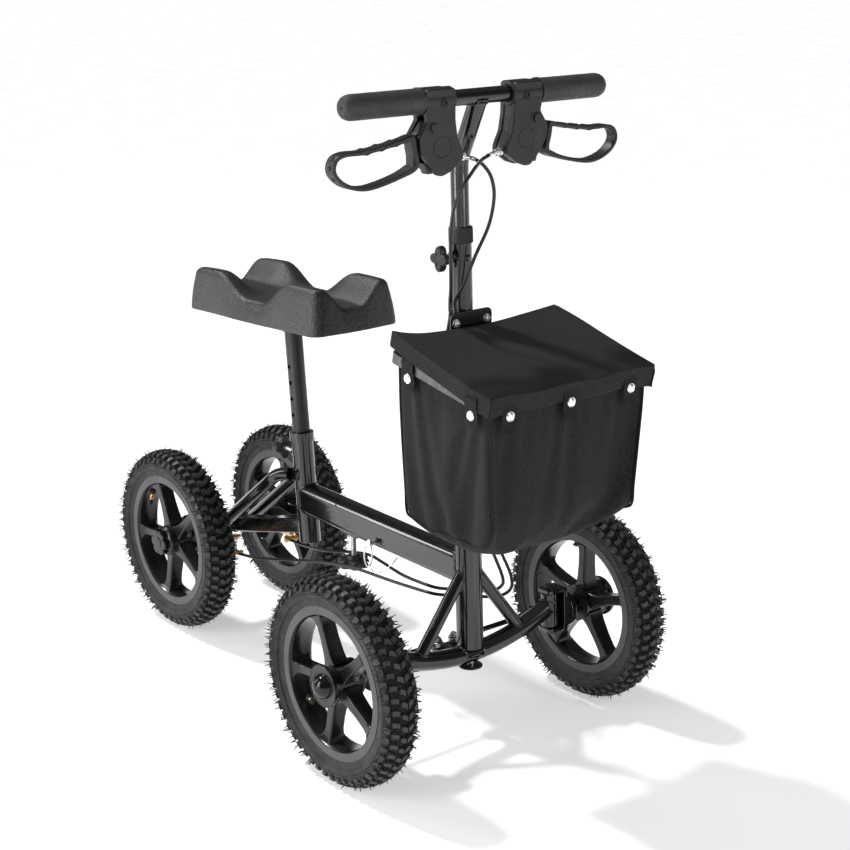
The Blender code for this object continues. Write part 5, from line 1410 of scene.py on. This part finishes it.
def bag_grid():
    """The bag's cloth as a grid: a strip for front, bottom and back between two side panels."""
    nx, ny = round(2 * BAG_HALF_W / BAG_STEP), round((BAG_HIGH.y - BAG_LOW.y) / BAG_STEP)
    nz = round((ring_z(BAG_HIGH.y) - BAG_BOTTOM) / BAG_STEP)
    mesh = bmesh.new()
    known = {}

    def vertex(i, j, k):
        if (i, j, k) not in known:
            u, v, w = 2 * i / nx - 1, j / ny, k / nz
            y = BAG_LOW.y + (BAG_HIGH.y - BAG_LOW.y) * v
            top = ring_z(y) - 0.006
            z = BAG_BOTTOM + (top - BAG_BOTTOM) * w
            x = u * BAG_HALF_W
            mid_y, half_y = (BAG_LOW.y + BAG_HIGH.y) / 2, (BAG_HIGH.y - BAG_LOW.y) / 2
            half_z = (top - BAG_BOTTOM) / 2
            radius = BAG_CORNER_BACK if v > 0.5 else BAG_CORNER_FRONT
            if w < 0.5:
                y, z = soft_corner(y - mid_y, z - BAG_BOTTOM - half_z, half_y, half_z, radius)
                y, z = y + mid_y, z + BAG_BOTTOM + half_z
                x, z = soft_corner(x, z - BAG_BOTTOM - half_z, BAG_HALF_W, half_z, 0.019)
                z += BAG_BOTTOM + half_z
            x, y = soft_corner(x, y - mid_y, BAG_HALF_W, half_y, 0.008)
            x, y = x * (1 - 0.022 * (1 - w)), y + mid_y
            bulge, arch_x, arch_y = sin(pi * w) * 0.0035, sin(pi * (u + 1) / 2), sin(pi * v)
            if abs(u) > 0.999:
                across = [((y, centre), lean) for centre, lean in zip(SNAP_SIDE_Y, (0.12, -0.3))]
                push = bulge * arch_y - 0.003 + fold(x, y, z, across) * arch_y ** 0.5
                x += push if u > 0 else -push
            elif v < 0.001:
                across = [((x, centre), lean) for centre, lean in zip(SNAP_FRONT_X, (0.05, 0.0, -0.1))]
                y -= bulge * arch_x - 0.003 + 0.8 * fold(x, y, z, across) * arch_x ** 0.5
            elif v > 0.999:
                y += bulge * arch_x * 0.4 - 0.001
            if w < 0.001:
                z += 0.003 - 0.003 * arch_y * arch_x
            known[i, j, k] = mesh.verts.new((x, y, max(z, BAG_BOTTOM + 0.0006)))
        return known[i, j, k]

    def quad(*spots):
        mesh.faces.new([vertex(*spot) for spot in spots])

    for j in range(ny):
        for k in range(nz):
            for i in (0, nx):
                quad((i, j, k), (i, j + 1, k), (i, j + 1, k + 1), (i, j, k + 1))
        for i in range(nx):
            quad((i, j, 0), (i + 1, j, 0), (i + 1, j + 1, 0), (i, j + 1, 0))
    for i in range(nx):
        for k in range(nz):
            for j in (0, ny):
                quad((i, j, k), (i + 1, j, k), (i + 1, j, k + 1), (i, j, k + 1))
    bmesh.ops.recalc_face_normals(mesh, faces=mesh.faces)
    mesh.verts.index_update()
    seams = []
    for i in (0, nx):
        line = ([(i, ny, k) for k in range(nz, 0, -1)] + [(i, j, 0) for j in range(ny, -1, -1)]
                + [(i, 0, k) for k in range(1, nz + 1)])
        seams.append([known[spot].index for spot in line])
    rim = ([(i, 0, nz) for i in range(nx)] + [(nx, j, nz) for j in range(ny)]
           + [(i, ny, nz) for i in range(nx, 0, -1)] + [(0, j, nz) for j in range(ny, 0, -1)])
    rim = [known[spot].index for spot in rim]
    return mesh, seams, rim


DENSE = ("dense", "SUBSURF", {"levels": 1, "render_levels": 1})


def cloth_wall(thickness):
    return "wall", "SOLIDIFY", {"thickness": thickness, "offset": -1.0}


def soft_piece(name, mesh, place, modifiers, node, body):
    """An object of cloth or foam that rides on the body and stands for the CAD node."""
    made = bpy.data.objects.new(name, mesh)
    made.matrix_world = place
    bpy.context.scene.collection.objects.link(made)
    for label, kind, settings in modifiers:
        modifier = made.modifiers.new(label, kind)
        for key, value in settings.items():
            setattr(modifier, key, value)
    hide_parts(node)
    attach(made, body)
    return made


def settled(mesh, pinned, frames, **cloth):
    """The mesh after its cloth has hung for some frames, with the pinned vertices held."""
    obj = bpy.data.objects.new("cloth", mesh)
    bpy.context.scene.collection.objects.link(obj)
    group = obj.vertex_groups.new(name="held")
    for index, weight in pinned.items():
        group.add([index], weight, "REPLACE")
    modifier = obj.modifiers.new("hang", "CLOTH")
    settings = modifier.settings
    settings.vertex_group_mass = "held"
    settings.quality = 8
    for key, value in cloth.items():
        if key == "gravity":
            settings.effector_weights.gravity = value
        else:
            setattr(settings, key, value)
    modifier.point_cache.frame_start, modifier.point_cache.frame_end = 1, frames
    scene = bpy.context.scene
    for frame_number in range(1, frames + 1):
        scene.frame_set(frame_number)
    hung = bpy.data.meshes.new_from_object(obj.evaluated_get(bpy.context.evaluated_depsgraph_get()))
    bpy.data.objects.remove(obj)
    scene.frame_set(1)
    return hung


def snap_tab(shape, spot, outward, low):
    """A tab of cloth that folds over the ring and closes with a silver snap."""
    side = Z.cross(outward).normalized()
    up = outward.cross(side) * -1
    if up.z < 0:
        up = -up
    section = [(0.0034, -0.032), (0.0022, -0.022), (0.003, -0.012), (0.0042, -0.004), (0.0048, 0.005),
               (0.0042, 0.0092), (0.0015, 0.0108), (-0.0022, 0.01), (-0.0034, 0.0055), (-0.0038, -0.006),
               (-0.0044, -0.015)]
    line = smooth([spot + outward * out + up * rise for out, rise in section], 4)
    flat = [Vector((p.x, p.y)) for p in rounded(0.012, 0.0007, 0.0005, 3)]
    rows = []
    for i, place in enumerate(along(line)):
        way = place.to_3x3().col[2]
        normal = side.cross(way).normalized()
        taper = 1 - 0.12 * max(0.0, 1 - i / 3) ** 2
        rows.append([line[i] + side * p.x * taper + normal * p.y for p in flat])
    shape.look = 0
    shape.loft(rows)
    shape.look = 1
    cap = towards(outward, spot + outward * (0.004 if low > 0.01 else 0.0052) - up * low)
    dome = [(0.007, -0.0006), (0.007, 0.0007), (0.0063, 0.0014), (0.0054, 0.0009), (0.0048, 0.0018),
            (0.0026, 0.0025), (0, 0.0027)]
    shape.turn(eased(dome, 0.0003, 2), cap, 32)


def bag():
    grid, seams, rim = bag_grid()
    mesh = bpy.data.meshes.new("bag_cloth")
    grid.to_mesh(mesh)
    grid.free()
    pinned = {}
    for index in rim:
        spot = mesh.vertices[index].co
        near = min([abs(spot.y - y) if abs(spot.x) > BAG_HALF_W - 0.01 else 9 for y in SNAP_SIDE_Y]
                   + [abs(spot.x - x) if spot.y < BAG_LOW.y + 0.01 else 9 for x in SNAP_FRONT_X]
                   + [0 if spot.y > BAG_HIGH.y - 0.01 else 9])
        pinned[index] = 1.0 if near < 0.014 else 0.9
    mesh = settled(mesh, pinned, 34, gravity=0.35, shrink_min=-0.016, tension_stiffness=22,
                   compression_stiffness=22, shear_stiffness=8, bending_stiffness=3.2, mass=0.15,
                   use_pressure=True, uniform_pressure_force=0.3, air_damping=2.0)
    points = [vertex.co.copy() for vertex in mesh.vertices]
    mesh.materials.clear()
    mesh.materials.append(CANVAS)
    mesh.shade_smooth()
    cloth = soft_piece("bag_cloth", mesh, Matrix(), (DENSE, cloth_wall(0.0016)), "basket_bag",
                       "column")

    piping = Shape()
    for line in seams:
        path = [points[i] for i in line]
        centre = Vector((0, (BAG_LOW.y + BAG_HIGH.y) / 2, (BAG_BOTTOM + BAG_HIGH.z) / 2))
        path = [p + (p - centre).normalized() * 0.0008 for p in path]
        piping.tube(smooth(path[::2] + [path[-1]], 3), 0.0018, 10)
    rim_path = [points[i] for i in rim]
    piping.tube(smooth(rim_path[::3] + [rim_path[0]], 3)[:-1], 0.0017, 8, True)
    piping = piece("bag_piping", piping, (TAPE,), "column", "basket", angle=60)

    tabs = Shape()
    inset = RING_HALF_W - RING_T / 2
    for y in SNAP_SIDE_Y:
        for side in SIDES:
            snap_tab(tabs, Vector((side * inset, y, ring_z(y))), X * side, 0.015)
    front = RING_FRONT.y + RING_T / 2
    for x in SNAP_FRONT_X:
        snap_tab(tabs, Vector((x, front, ring_z(front))), -Y, 0.0095)
    tabs = piece("bag_tabs", tabs, (TAPE, CHROME), "column", "basket", angle=45)


LID_BACK, LID_FRONT = Vector((0, -0.2905, 0.635)), Vector((0, -0.4965, 0.592))
LID_HALF_W, LID_SKIRT, HEM = 0.1495, 0.0245, 0.0185


def lid():
    """The cover: one sheet whose front and sides turn down in a stitched hem."""
    slope = atan2(LID_BACK.z - LID_FRONT.z, LID_BACK.y - LID_FRONT.y)
    length = (LID_BACK - LID_FRONT).length
    place = Matrix.Translation(LID_BACK) @ Matrix.Rotation(slope, 4, "X")
    step = 0.0042
    nu, nv = round(2 * (LID_HALF_W + LID_SKIRT) / step), round((length + LID_SKIRT) / step)
    mesh = bmesh.new()
    rows = []
    for j in range(nv + 1):
        row = []
        for i in range(nu + 1):
            a = -(LID_HALF_W + LID_SKIRT) + 2 * (LID_HALF_W + LID_SKIRT) * i / nu
            b = (length + LID_SKIRT) * j / nv
            over_a, over_b = max(0.0, abs(a) - LID_HALF_W), max(0.0, b - length)
            sign = 1 if a > 0 else -1
            drop = min(LID_SKIRT, hypot(over_a, over_b))
            x = sign * min(abs(a), LID_HALF_W - 0.0008)
            y = -min(b, length - 0.0008)
            turn = 0.0045
            if 0 < drop < turn:
                ease_in = turn * (1 - cos(drop / turn * pi / 2)) * 0.62
            else:
                ease_in = drop - turn * 0.38 if drop else 0.0
            u, v = x / LID_HALF_W, -y / length
            rise = -0.0105 * (1 - u * u) * (1 - v) ** 1.6 - 0.0045 * v
            ease_in += (0.0065 * max(0.0, u) ** 2 * v + 0.0045 * v) * drop / LID_SKIRT
            rise += 0.0075 * max(0.0, -u) ** 4 * (1 - v) ** 3
            rise -= 0.003 * sin(pi * v) * (1 - u * u)
            rise += 0.003 * noise.noise(Vector((a * 11, b * 9, 1.7)))
            rise += 0.0011 * sin(9 * u + 2.5 * v) * (0.3 + v)
            inside = min(LID_HALF_W - abs(x), length + y)
            hem = 0.0007 / (1 + exp((inside - HEM) / 0.0007)) if v > 0.02 else 0.0
            stitch = -0.0004 * exp(-((inside - HEM + 0.0022) / 0.0007) ** 2)
            rise += (hem + stitch) * (1 if drop == 0 else 0.3)
            flare = 0.0016 * sin(a * 34 + b * 29) * drop / LID_SKIRT
            x += sign * flare if over_a > over_b else 0.0
            y -= flare if over_b >= over_a and drop else 0.0
            row.append(mesh.verts.new(place @ Vector((x, y, rise - ease_in))))
        rows.append(row)
    skin(mesh, rows)
    bmesh.ops.remove_doubles(mesh, verts=mesh.verts, dist=0.0006)
    bmesh.ops.recalc_face_normals(mesh, faces=mesh.faces)
    if sum(face.normal.z for face in mesh.faces) < 0:
        bmesh.ops.reverse_faces(mesh, faces=mesh.faces)
    data = bpy.data.meshes.new("lid_cloth")
    mesh.to_mesh(data)
    mesh.free()
    data.materials.append(CANVAS)
    data.shade_smooth()
    cloth = soft_piece("lid_cloth", data, Matrix(), (cloth_wall(0.0014), DENSE), "basket_lid",
                       "lid")


basket_ring()
bag()
lid()


# ---------------------------------------------------------------- seat post, seat plate and knee pad

PAD_CENTRE, PAD_TILT = Vector((0, 0.1622, 0.5556)), -atan2(0.0456, 1)
PAD_HALF_W, PAD_HALF_L, PAD_HUMP, PAD_DIP, PAD_DRAFT = 0.0816, 0.1805, 0.07, 0.034, 0.0075
PAD_FRAME = Matrix.Translation(PAD_CENTRE) @ Matrix.Rotation(PAD_TILT, 4, "X")
POST_R = 0.014


def drilled(shape, cutter):
    """The shape with the cutter's volume taken out of it."""
    made = []
    for part in (shape, cutter):
        bmesh.ops.recalc_face_normals(part.mesh, faces=part.mesh.faces)
        mesh = bpy.data.meshes.new("boolean")
        part.mesh.to_mesh(mesh)
        part.mesh.free()
        obj = bpy.data.objects.new("boolean", mesh)
        bpy.context.scene.collection.objects.link(obj)
        made.append(obj)
    cut = made[0].modifiers.new("cut", "BOOLEAN")
    cut.operation, cut.object, cut.solver = "DIFFERENCE", made[1], "EXACT"
    mesh = bpy.data.meshes.new_from_object(made[0].evaluated_get(bpy.context.evaluated_depsgraph_get()))
    for obj in made:
        bpy.data.objects.remove(obj)
    fresh = Shape()
    fresh.mesh.from_mesh(mesh)
    return fresh


def seat_post():
    shape, holes = Shape(), Shape()
    low, high = on_post(0.245), on_post(0.544)
    shape.pipe(towards(POST_UP, low), (high - low).length, POST_R, POST_R - 0.0018, 0.0006, 64)
    for i in range(4):
        holes.turn([(0, -0.03), (0.0036, -0.03), (0.0036, 0.03), (0, 0.03)],
                   towards(X, on_post(0.476 - 0.026 * i)), 24)
    shape = drilled(shape, holes)
    piece("post_tube", shape, (SATIN,), "seat", "paint", "seat_post", angle=40)


def seat_plate():
    shape = Shape()
    top = PAD_FRAME @ Matrix.Translation((0, -0.01, -0.0024))
    shape.plate([rounded(0.045, 0.08, 0.012, 6)], 0.004, top, 0.001)
    foot = on_post(0.544) - POST_UP * 0.03
    socket = [(0.0172, 0.0275), (0.0172, 0.0195), (0.0166, 0.018), (0.0142, 0.018), (0.0142, 0.0275)]
    shape.turn(eased(socket, 0.0006, 2, True), towards(POST_UP, foot), 48, True)
    collar = [foot + POST_UP * 0.0262 + Vector((0.0182 * cos(a), 0.0182 * sin(a), 0)) for a in
              (2 * pi * i / 60 for i in range(60))]
    shape.bead(collar, 0.0018)
    shape.look = 1
    for x in (-0.033, 0.033):
        for y in (-0.065, 0.065):
            shape.bolt(top @ Matrix.Translation((x, y, -0.0019)) @ Matrix.Rotation(pi, 4, "X"), 0.005, 0.0024)
    piece("pad_bracket", shape, (PAINT, STEEL), "seat", "paint", "seat_plate")


def eased_step(value, start, end):
    """0 before start, 1 after end, and a smooth rise between."""
    t = min(1.0, max(0.0, (value - start) / (end - start)))
    return t * t * (3 - 2 * t)


def pad_top(a, b):
    """The height of the pad at a place: four humps round two crossing troughs, with a rounded edge."""
    half_w, half_l = PAD_HALF_W - PAD_DRAFT, PAD_HALF_L - PAD_DRAFT
    u, v = abs(a) / half_w, abs(b) / half_l
    hump_u, hump_v = eased_step(u, 0.16, 0.76), eased_step(v, 0.12, 0.58)
    trough = 1 - (1 - 0.88 * (1 - hump_u)) * (1 - 0.97 * (1 - hump_v))
    high = PAD_HUMP - (PAD_HUMP - PAD_DIP) * trough - 0.002 * u ** 4 - 0.003 * v ** 6
    high += 0.0035 * hump_u * hump_v * (b < 0)
    radius, corner = 0.011, 0.018
    q, r = abs(a) - (half_w - corner), abs(b) - (half_l - corner)
    inside = corner - hypot(max(q, 0.0), max(r, 0.0)) - min(max(q, r), 0.0)
    if inside < radius:
        high -= radius - max(0.0, radius ** 2 - (radius - max(inside, 0.0)) ** 2) ** 0.5
    return high


def knee_pad():
    """A moulded foam block: its top on a grid, its sides flaring down to a tucked-in lower edge."""
    half_w, half_l = PAD_HALF_W - PAD_DRAFT, PAD_HALF_L - PAD_DRAFT
    nx, ny = 46, 100
    mesh = bmesh.new()
    grid = []
    for j in range(ny + 1):
        row = []
        for i in range(nx + 1):
            u, v = 2 * i / nx - 1, 2 * j / ny - 1
            u, v = sin(u * pi / 2) * 0.35 + u * 0.65, sin(v * pi / 2) * 0.25 + v * 0.75
            a, b = soft_corner(u * half_w, v * half_l, half_w, half_l, 0.018)
            row.append(mesh.verts.new((a, b, pad_top(a, b))))
        grid.append(row)
    skin(mesh, grid)
    ring = grid[0][:-1] + [row[-1] for row in grid[:-1]] + grid[-1][:0:-1] + [row[0] for row in grid[:0:-1]]
    rows, grow_w, grow_l = [ring], PAD_HALF_W / half_w, PAD_HALF_L / half_l
    for share in (0.06, 0.16, 0.32, 0.5, 0.68, 0.84, 0.94, 0.975, 1.0):
        row = []
        for vert in ring:
            tuck = 0.0018 * max(0.0, (share - 0.94) / 0.06) ** 2
            wave = 0.0012 * sin(pi * share)
            x = vert.co.x * (1 + (grow_w - 1) * share) * (1 + wave / PAD_HALF_W)
            y = vert.co.y * (1 + (grow_l - 1) * share) * (1 + wave / PAD_HALF_L)
            row.append(mesh.verts.new((x * (1 - tuck / PAD_HALF_W), y * (1 - tuck / PAD_HALF_L),
                                       vert.co.z * (1 - share))))
        rows.append(row)
    skin(mesh, rows, closed=True)
    mesh.faces.new(rows[-1])
    bmesh.ops.recalc_face_normals(mesh, faces=mesh.faces)
    data = bpy.data.meshes.new("pad_foam")
    mesh.to_mesh(data)
    mesh.free()
    data.materials.append(PAD)
    data.shade_smooth()
    data.set_sharp_from_angle(angle=radians(70))
    pad = soft_piece("pad_foam", data, PAD_FRAME, (DENSE,), "knee_pad", "seat")


seat_post()
seat_plate()
knee_pad()


# ---------------------------------------------------------------- knobs, safety pin

def star(lobes, tip, root, blunt, steps=96):
    """The outline of a star knob: each lobe is blunt, and the hollows between them are round."""
    return [Vector((r * cos(a), r * sin(a))) for a, r in (
        (2 * pi * i / steps, root + (tip - root) * (0.5 + 0.5 * cos(lobes * 2 * pi * i / steps)) ** blunt)
        for i in range(steps))]


def knob(name, node, place, tip, thickness, lobes, bolt_r, bolt_long, looks, body):
    """A moulded star with a domed face, a collar and a threaded bolt. The frame's Z is out of its face."""
    shape = Shape()
    root = tip * (0.6 if lobes == 4 else 0.76)
    outline = star(lobes, tip, root, 0.75 if lobes == 4 else 0.9, 144)
    rows = []
    for scale, height in ((0.82, -thickness), (0.93, -thickness + 0.0006), (0.985, -thickness + 0.0022),
                          (1.0, -thickness * 0.6), (1.0, -0.004), (0.975, -0.002), (0.91, -0.0007),
                          (0.8, 0.0), (0.55, -0.0002), (0.5, -0.001), (0.0, -0.0012)):
        rows.append([place @ Vector((p.x * scale, p.y * scale, height)) for p in outline])
    shape.loft(rows, caps=False)
    shape.face([shape.mesh.verts.new(point) for point in rows[0]])
    bmesh.ops.remove_doubles(shape.mesh, verts=shape.mesh.verts, dist=1e-6)
    neck = [(0.0, -thickness - 0.0045), (root * 0.52, -thickness - 0.0045),
            (root * 0.62, -thickness + 0.0004), (0.0, -thickness + 0.0004)]
    shape.turn(eased(neck, 0.0008, 2), place, 40)
    shape.look = 1
    thread = []
    count = max(4, int((bolt_long - 0.0045) / 0.0006))
    for i in range(count):
        thread.append((bolt_r - (0.0 if i % 2 else 0.00035), -thickness - 0.0045 - 0.0006 * i))
    shape.turn([(0.0, -thickness - 0.004), *thread, (0.0, thread[-1][1] - 0.0004)], place, 24)
    piece(name, shape, looks, body, "knob", node, angle=40)


def knob_place(node, way):
    """The frame of a knob's face, from the middle of its box across its axis."""
    low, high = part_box(node)
    centre = (low + high) / 2
    way = Vector(way)
    far = max(high.dot(way), low.dot(way))
    return towards(way, centre + way * (far - centre.dot(way)))


knob("column_star", "column_knob", knob_place("column_knob", -X), 0.0184, 0.012, 4, 0.004, 0.017,
     (LEVER, STEEL), "column_knob")
knob("seat_star", "seat_knob", knob_place("seat_knob", Y), 0.02, 0.013, 4, 0.0044, 0.033, (KNOB, STEEL),
     "seat_knob")
knob("beam_star", "beam_knob", knob_place("beam_knob", -Z), 0.026, 0.014, 6, 0.004, 0.049,
     (LEVER, STEEL), "beam_knob")

PIN_Y, PIN_Z, PIN_R = -0.075, 0.245, 0.003


def safety_pin():
    shape = Shape()
    place = towards(X, (-0.03, PIN_Y, PIN_Z))
    shape.turn(eased([(0, -0.0016), (0.0038, -0.001), (0.0062, 0.0008), (0.007, 0.003), (0.0062, 0.006),
                      (PIN_R, 0.006), (PIN_R, 0.054), (0.0022, 0.056), (0, 0.056)], 0.0005, 2), place, 36)
    loop = [Vector((-0.029 - 0.003 * sin(a), PIN_Y + 0.006 * sin(a), PIN_Z - 0.0185 + 0.0185 * cos(a)))
            for a in (2 * pi * i / 64 for i in range(64))]
    shape.tube(loop, 0.0012, 10, True)
    piece("pin_and_ring", shape, (NICKEL,), "safety_pin", "chrome", "safety_pin")


safety_pin()


# ---------------------------------------------------------------- cables

CABLE_R = 0.0025
SPLIT_Z = 0.65
CLIPS = {RIGHT: (-0.0235, -0.2745), LEFT: (-0.0325, -0.2735)}
UPPER_ROUTES = {
    RIGHT: [(-0.0165, -0.2956, 0.8602), (-0.006, -0.2965, 0.856), (0.007, -0.2985, 0.846),
            (0.019, -0.299, 0.829), (0.025, -0.2975, 0.802), (0.0185, -0.2945, 0.764), (-0.001, -0.29, 0.724),
            (-0.016, -0.283, 0.684)],
    LEFT: [(0.0165, -0.2956, 0.8602), (0.008, -0.303, 0.861), (-0.006, -0.305, 0.856), (-0.021, -0.303, 0.84),
           (-0.0335, -0.296, 0.817), (-0.04, -0.289, 0.79), (-0.0435, -0.2875, 0.756),
           (-0.0435, -0.288, 0.718), (-0.037, -0.2805, 0.68)],
}
LOWER_ROUTES = {
    RIGHT: [(-0.024, -0.265, 0.57), (-0.014, -0.245, 0.51), (0.04, -0.24, 0.36), (0.088, -0.244, 0.263),
            (0.116, -0.242, 0.208), (0.122, -0.232, 0.18), (0.1, -0.222, 0.172), (0.05, -0.218, 0.186),
            (0.0, -0.216, 0.199), (-0.021, -0.205, 0.206), (-0.023, -0.13, 0.199),
            (-0.027, -0.042, 0.194), (-0.0325, 0.0, 0.189), (-0.034, 0.04, 0.182),
            (-0.035, 0.133, 0.158), (-0.047, 0.208, 0.142), (-0.052, 0.252, 0.137)],
    LEFT: [(-0.031, -0.26, 0.58), (-0.01, -0.233, 0.47), (0.034, -0.231, 0.36), (0.08, -0.234, 0.263),
           (0.106, -0.233, 0.208), (0.112, -0.224, 0.187), (0.095, -0.214, 0.18), (0.052, -0.21, 0.193),
           (0.008, -0.206, 0.204), (-0.011, -0.19, 0.211), (-0.006, -0.13, 0.206),
           (0.018, -0.05, 0.196), (0.0325, 0.0, 0.189), (0.034, 0.04, 0.182),
           (0.035, 0.133, 0.158), (0.047, 0.208, 0.142), (0.052, 0.252, 0.137)],
}
LANYARD = [(-0.0302, -0.076, 0.2165), (-0.031, -0.09, 0.205), (-0.029, -0.108, 0.208), (-0.02, -0.12, 0.222),
           (-0.01, -0.124, 0.233)]


def unparented(name, shape, slot, *nodes):
    return piece(name, shape, (CABLE, CHROME), None, slot, *nodes)


for side, word in SIDES.items():
    clip_x, clip_y = CLIPS[side]
    clips = [Vector((clip_x, clip_y, SPLIT_Z + rise)) for rise in (0.012, 0.0, -0.0006, -0.012)]
    upper = Shape()
    upper.tube(smooth([*UPPER_ROUTES[side], clips[0], clips[1]], 10), CABLE_R, 14)
    upper.look = 1
    first = Vector(UPPER_ROUTES[side][0])
    way = (Vector(UPPER_ROUTES[side][1]) - first).normalized()
    upper.turn(eased([(0.0026, 0), (0.0031, 0.0003), (0.0031, 0.0068), (0.0026, 0.0071)], 0.0004, 2, True),
               towards(way, first), 24, True)
    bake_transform(unparented("cable_top_" + word, upper, "cable", "cable_upper_" + word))

    lower = Shape()
    lower.tube(smooth([clips[2], clips[3], *LOWER_ROUTES[side]], 10), CABLE_R, 14)
    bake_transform(unparented("cable_low_" + word, lower, "cable", "cable_lower_" + word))

lanyard = Shape()
lanyard.look = 1
lanyard.tube(smooth(LANYARD, 8), 0.0011, 10)
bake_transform(unparented("pin_cord", lanyard, "cable", "pin_lanyard"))
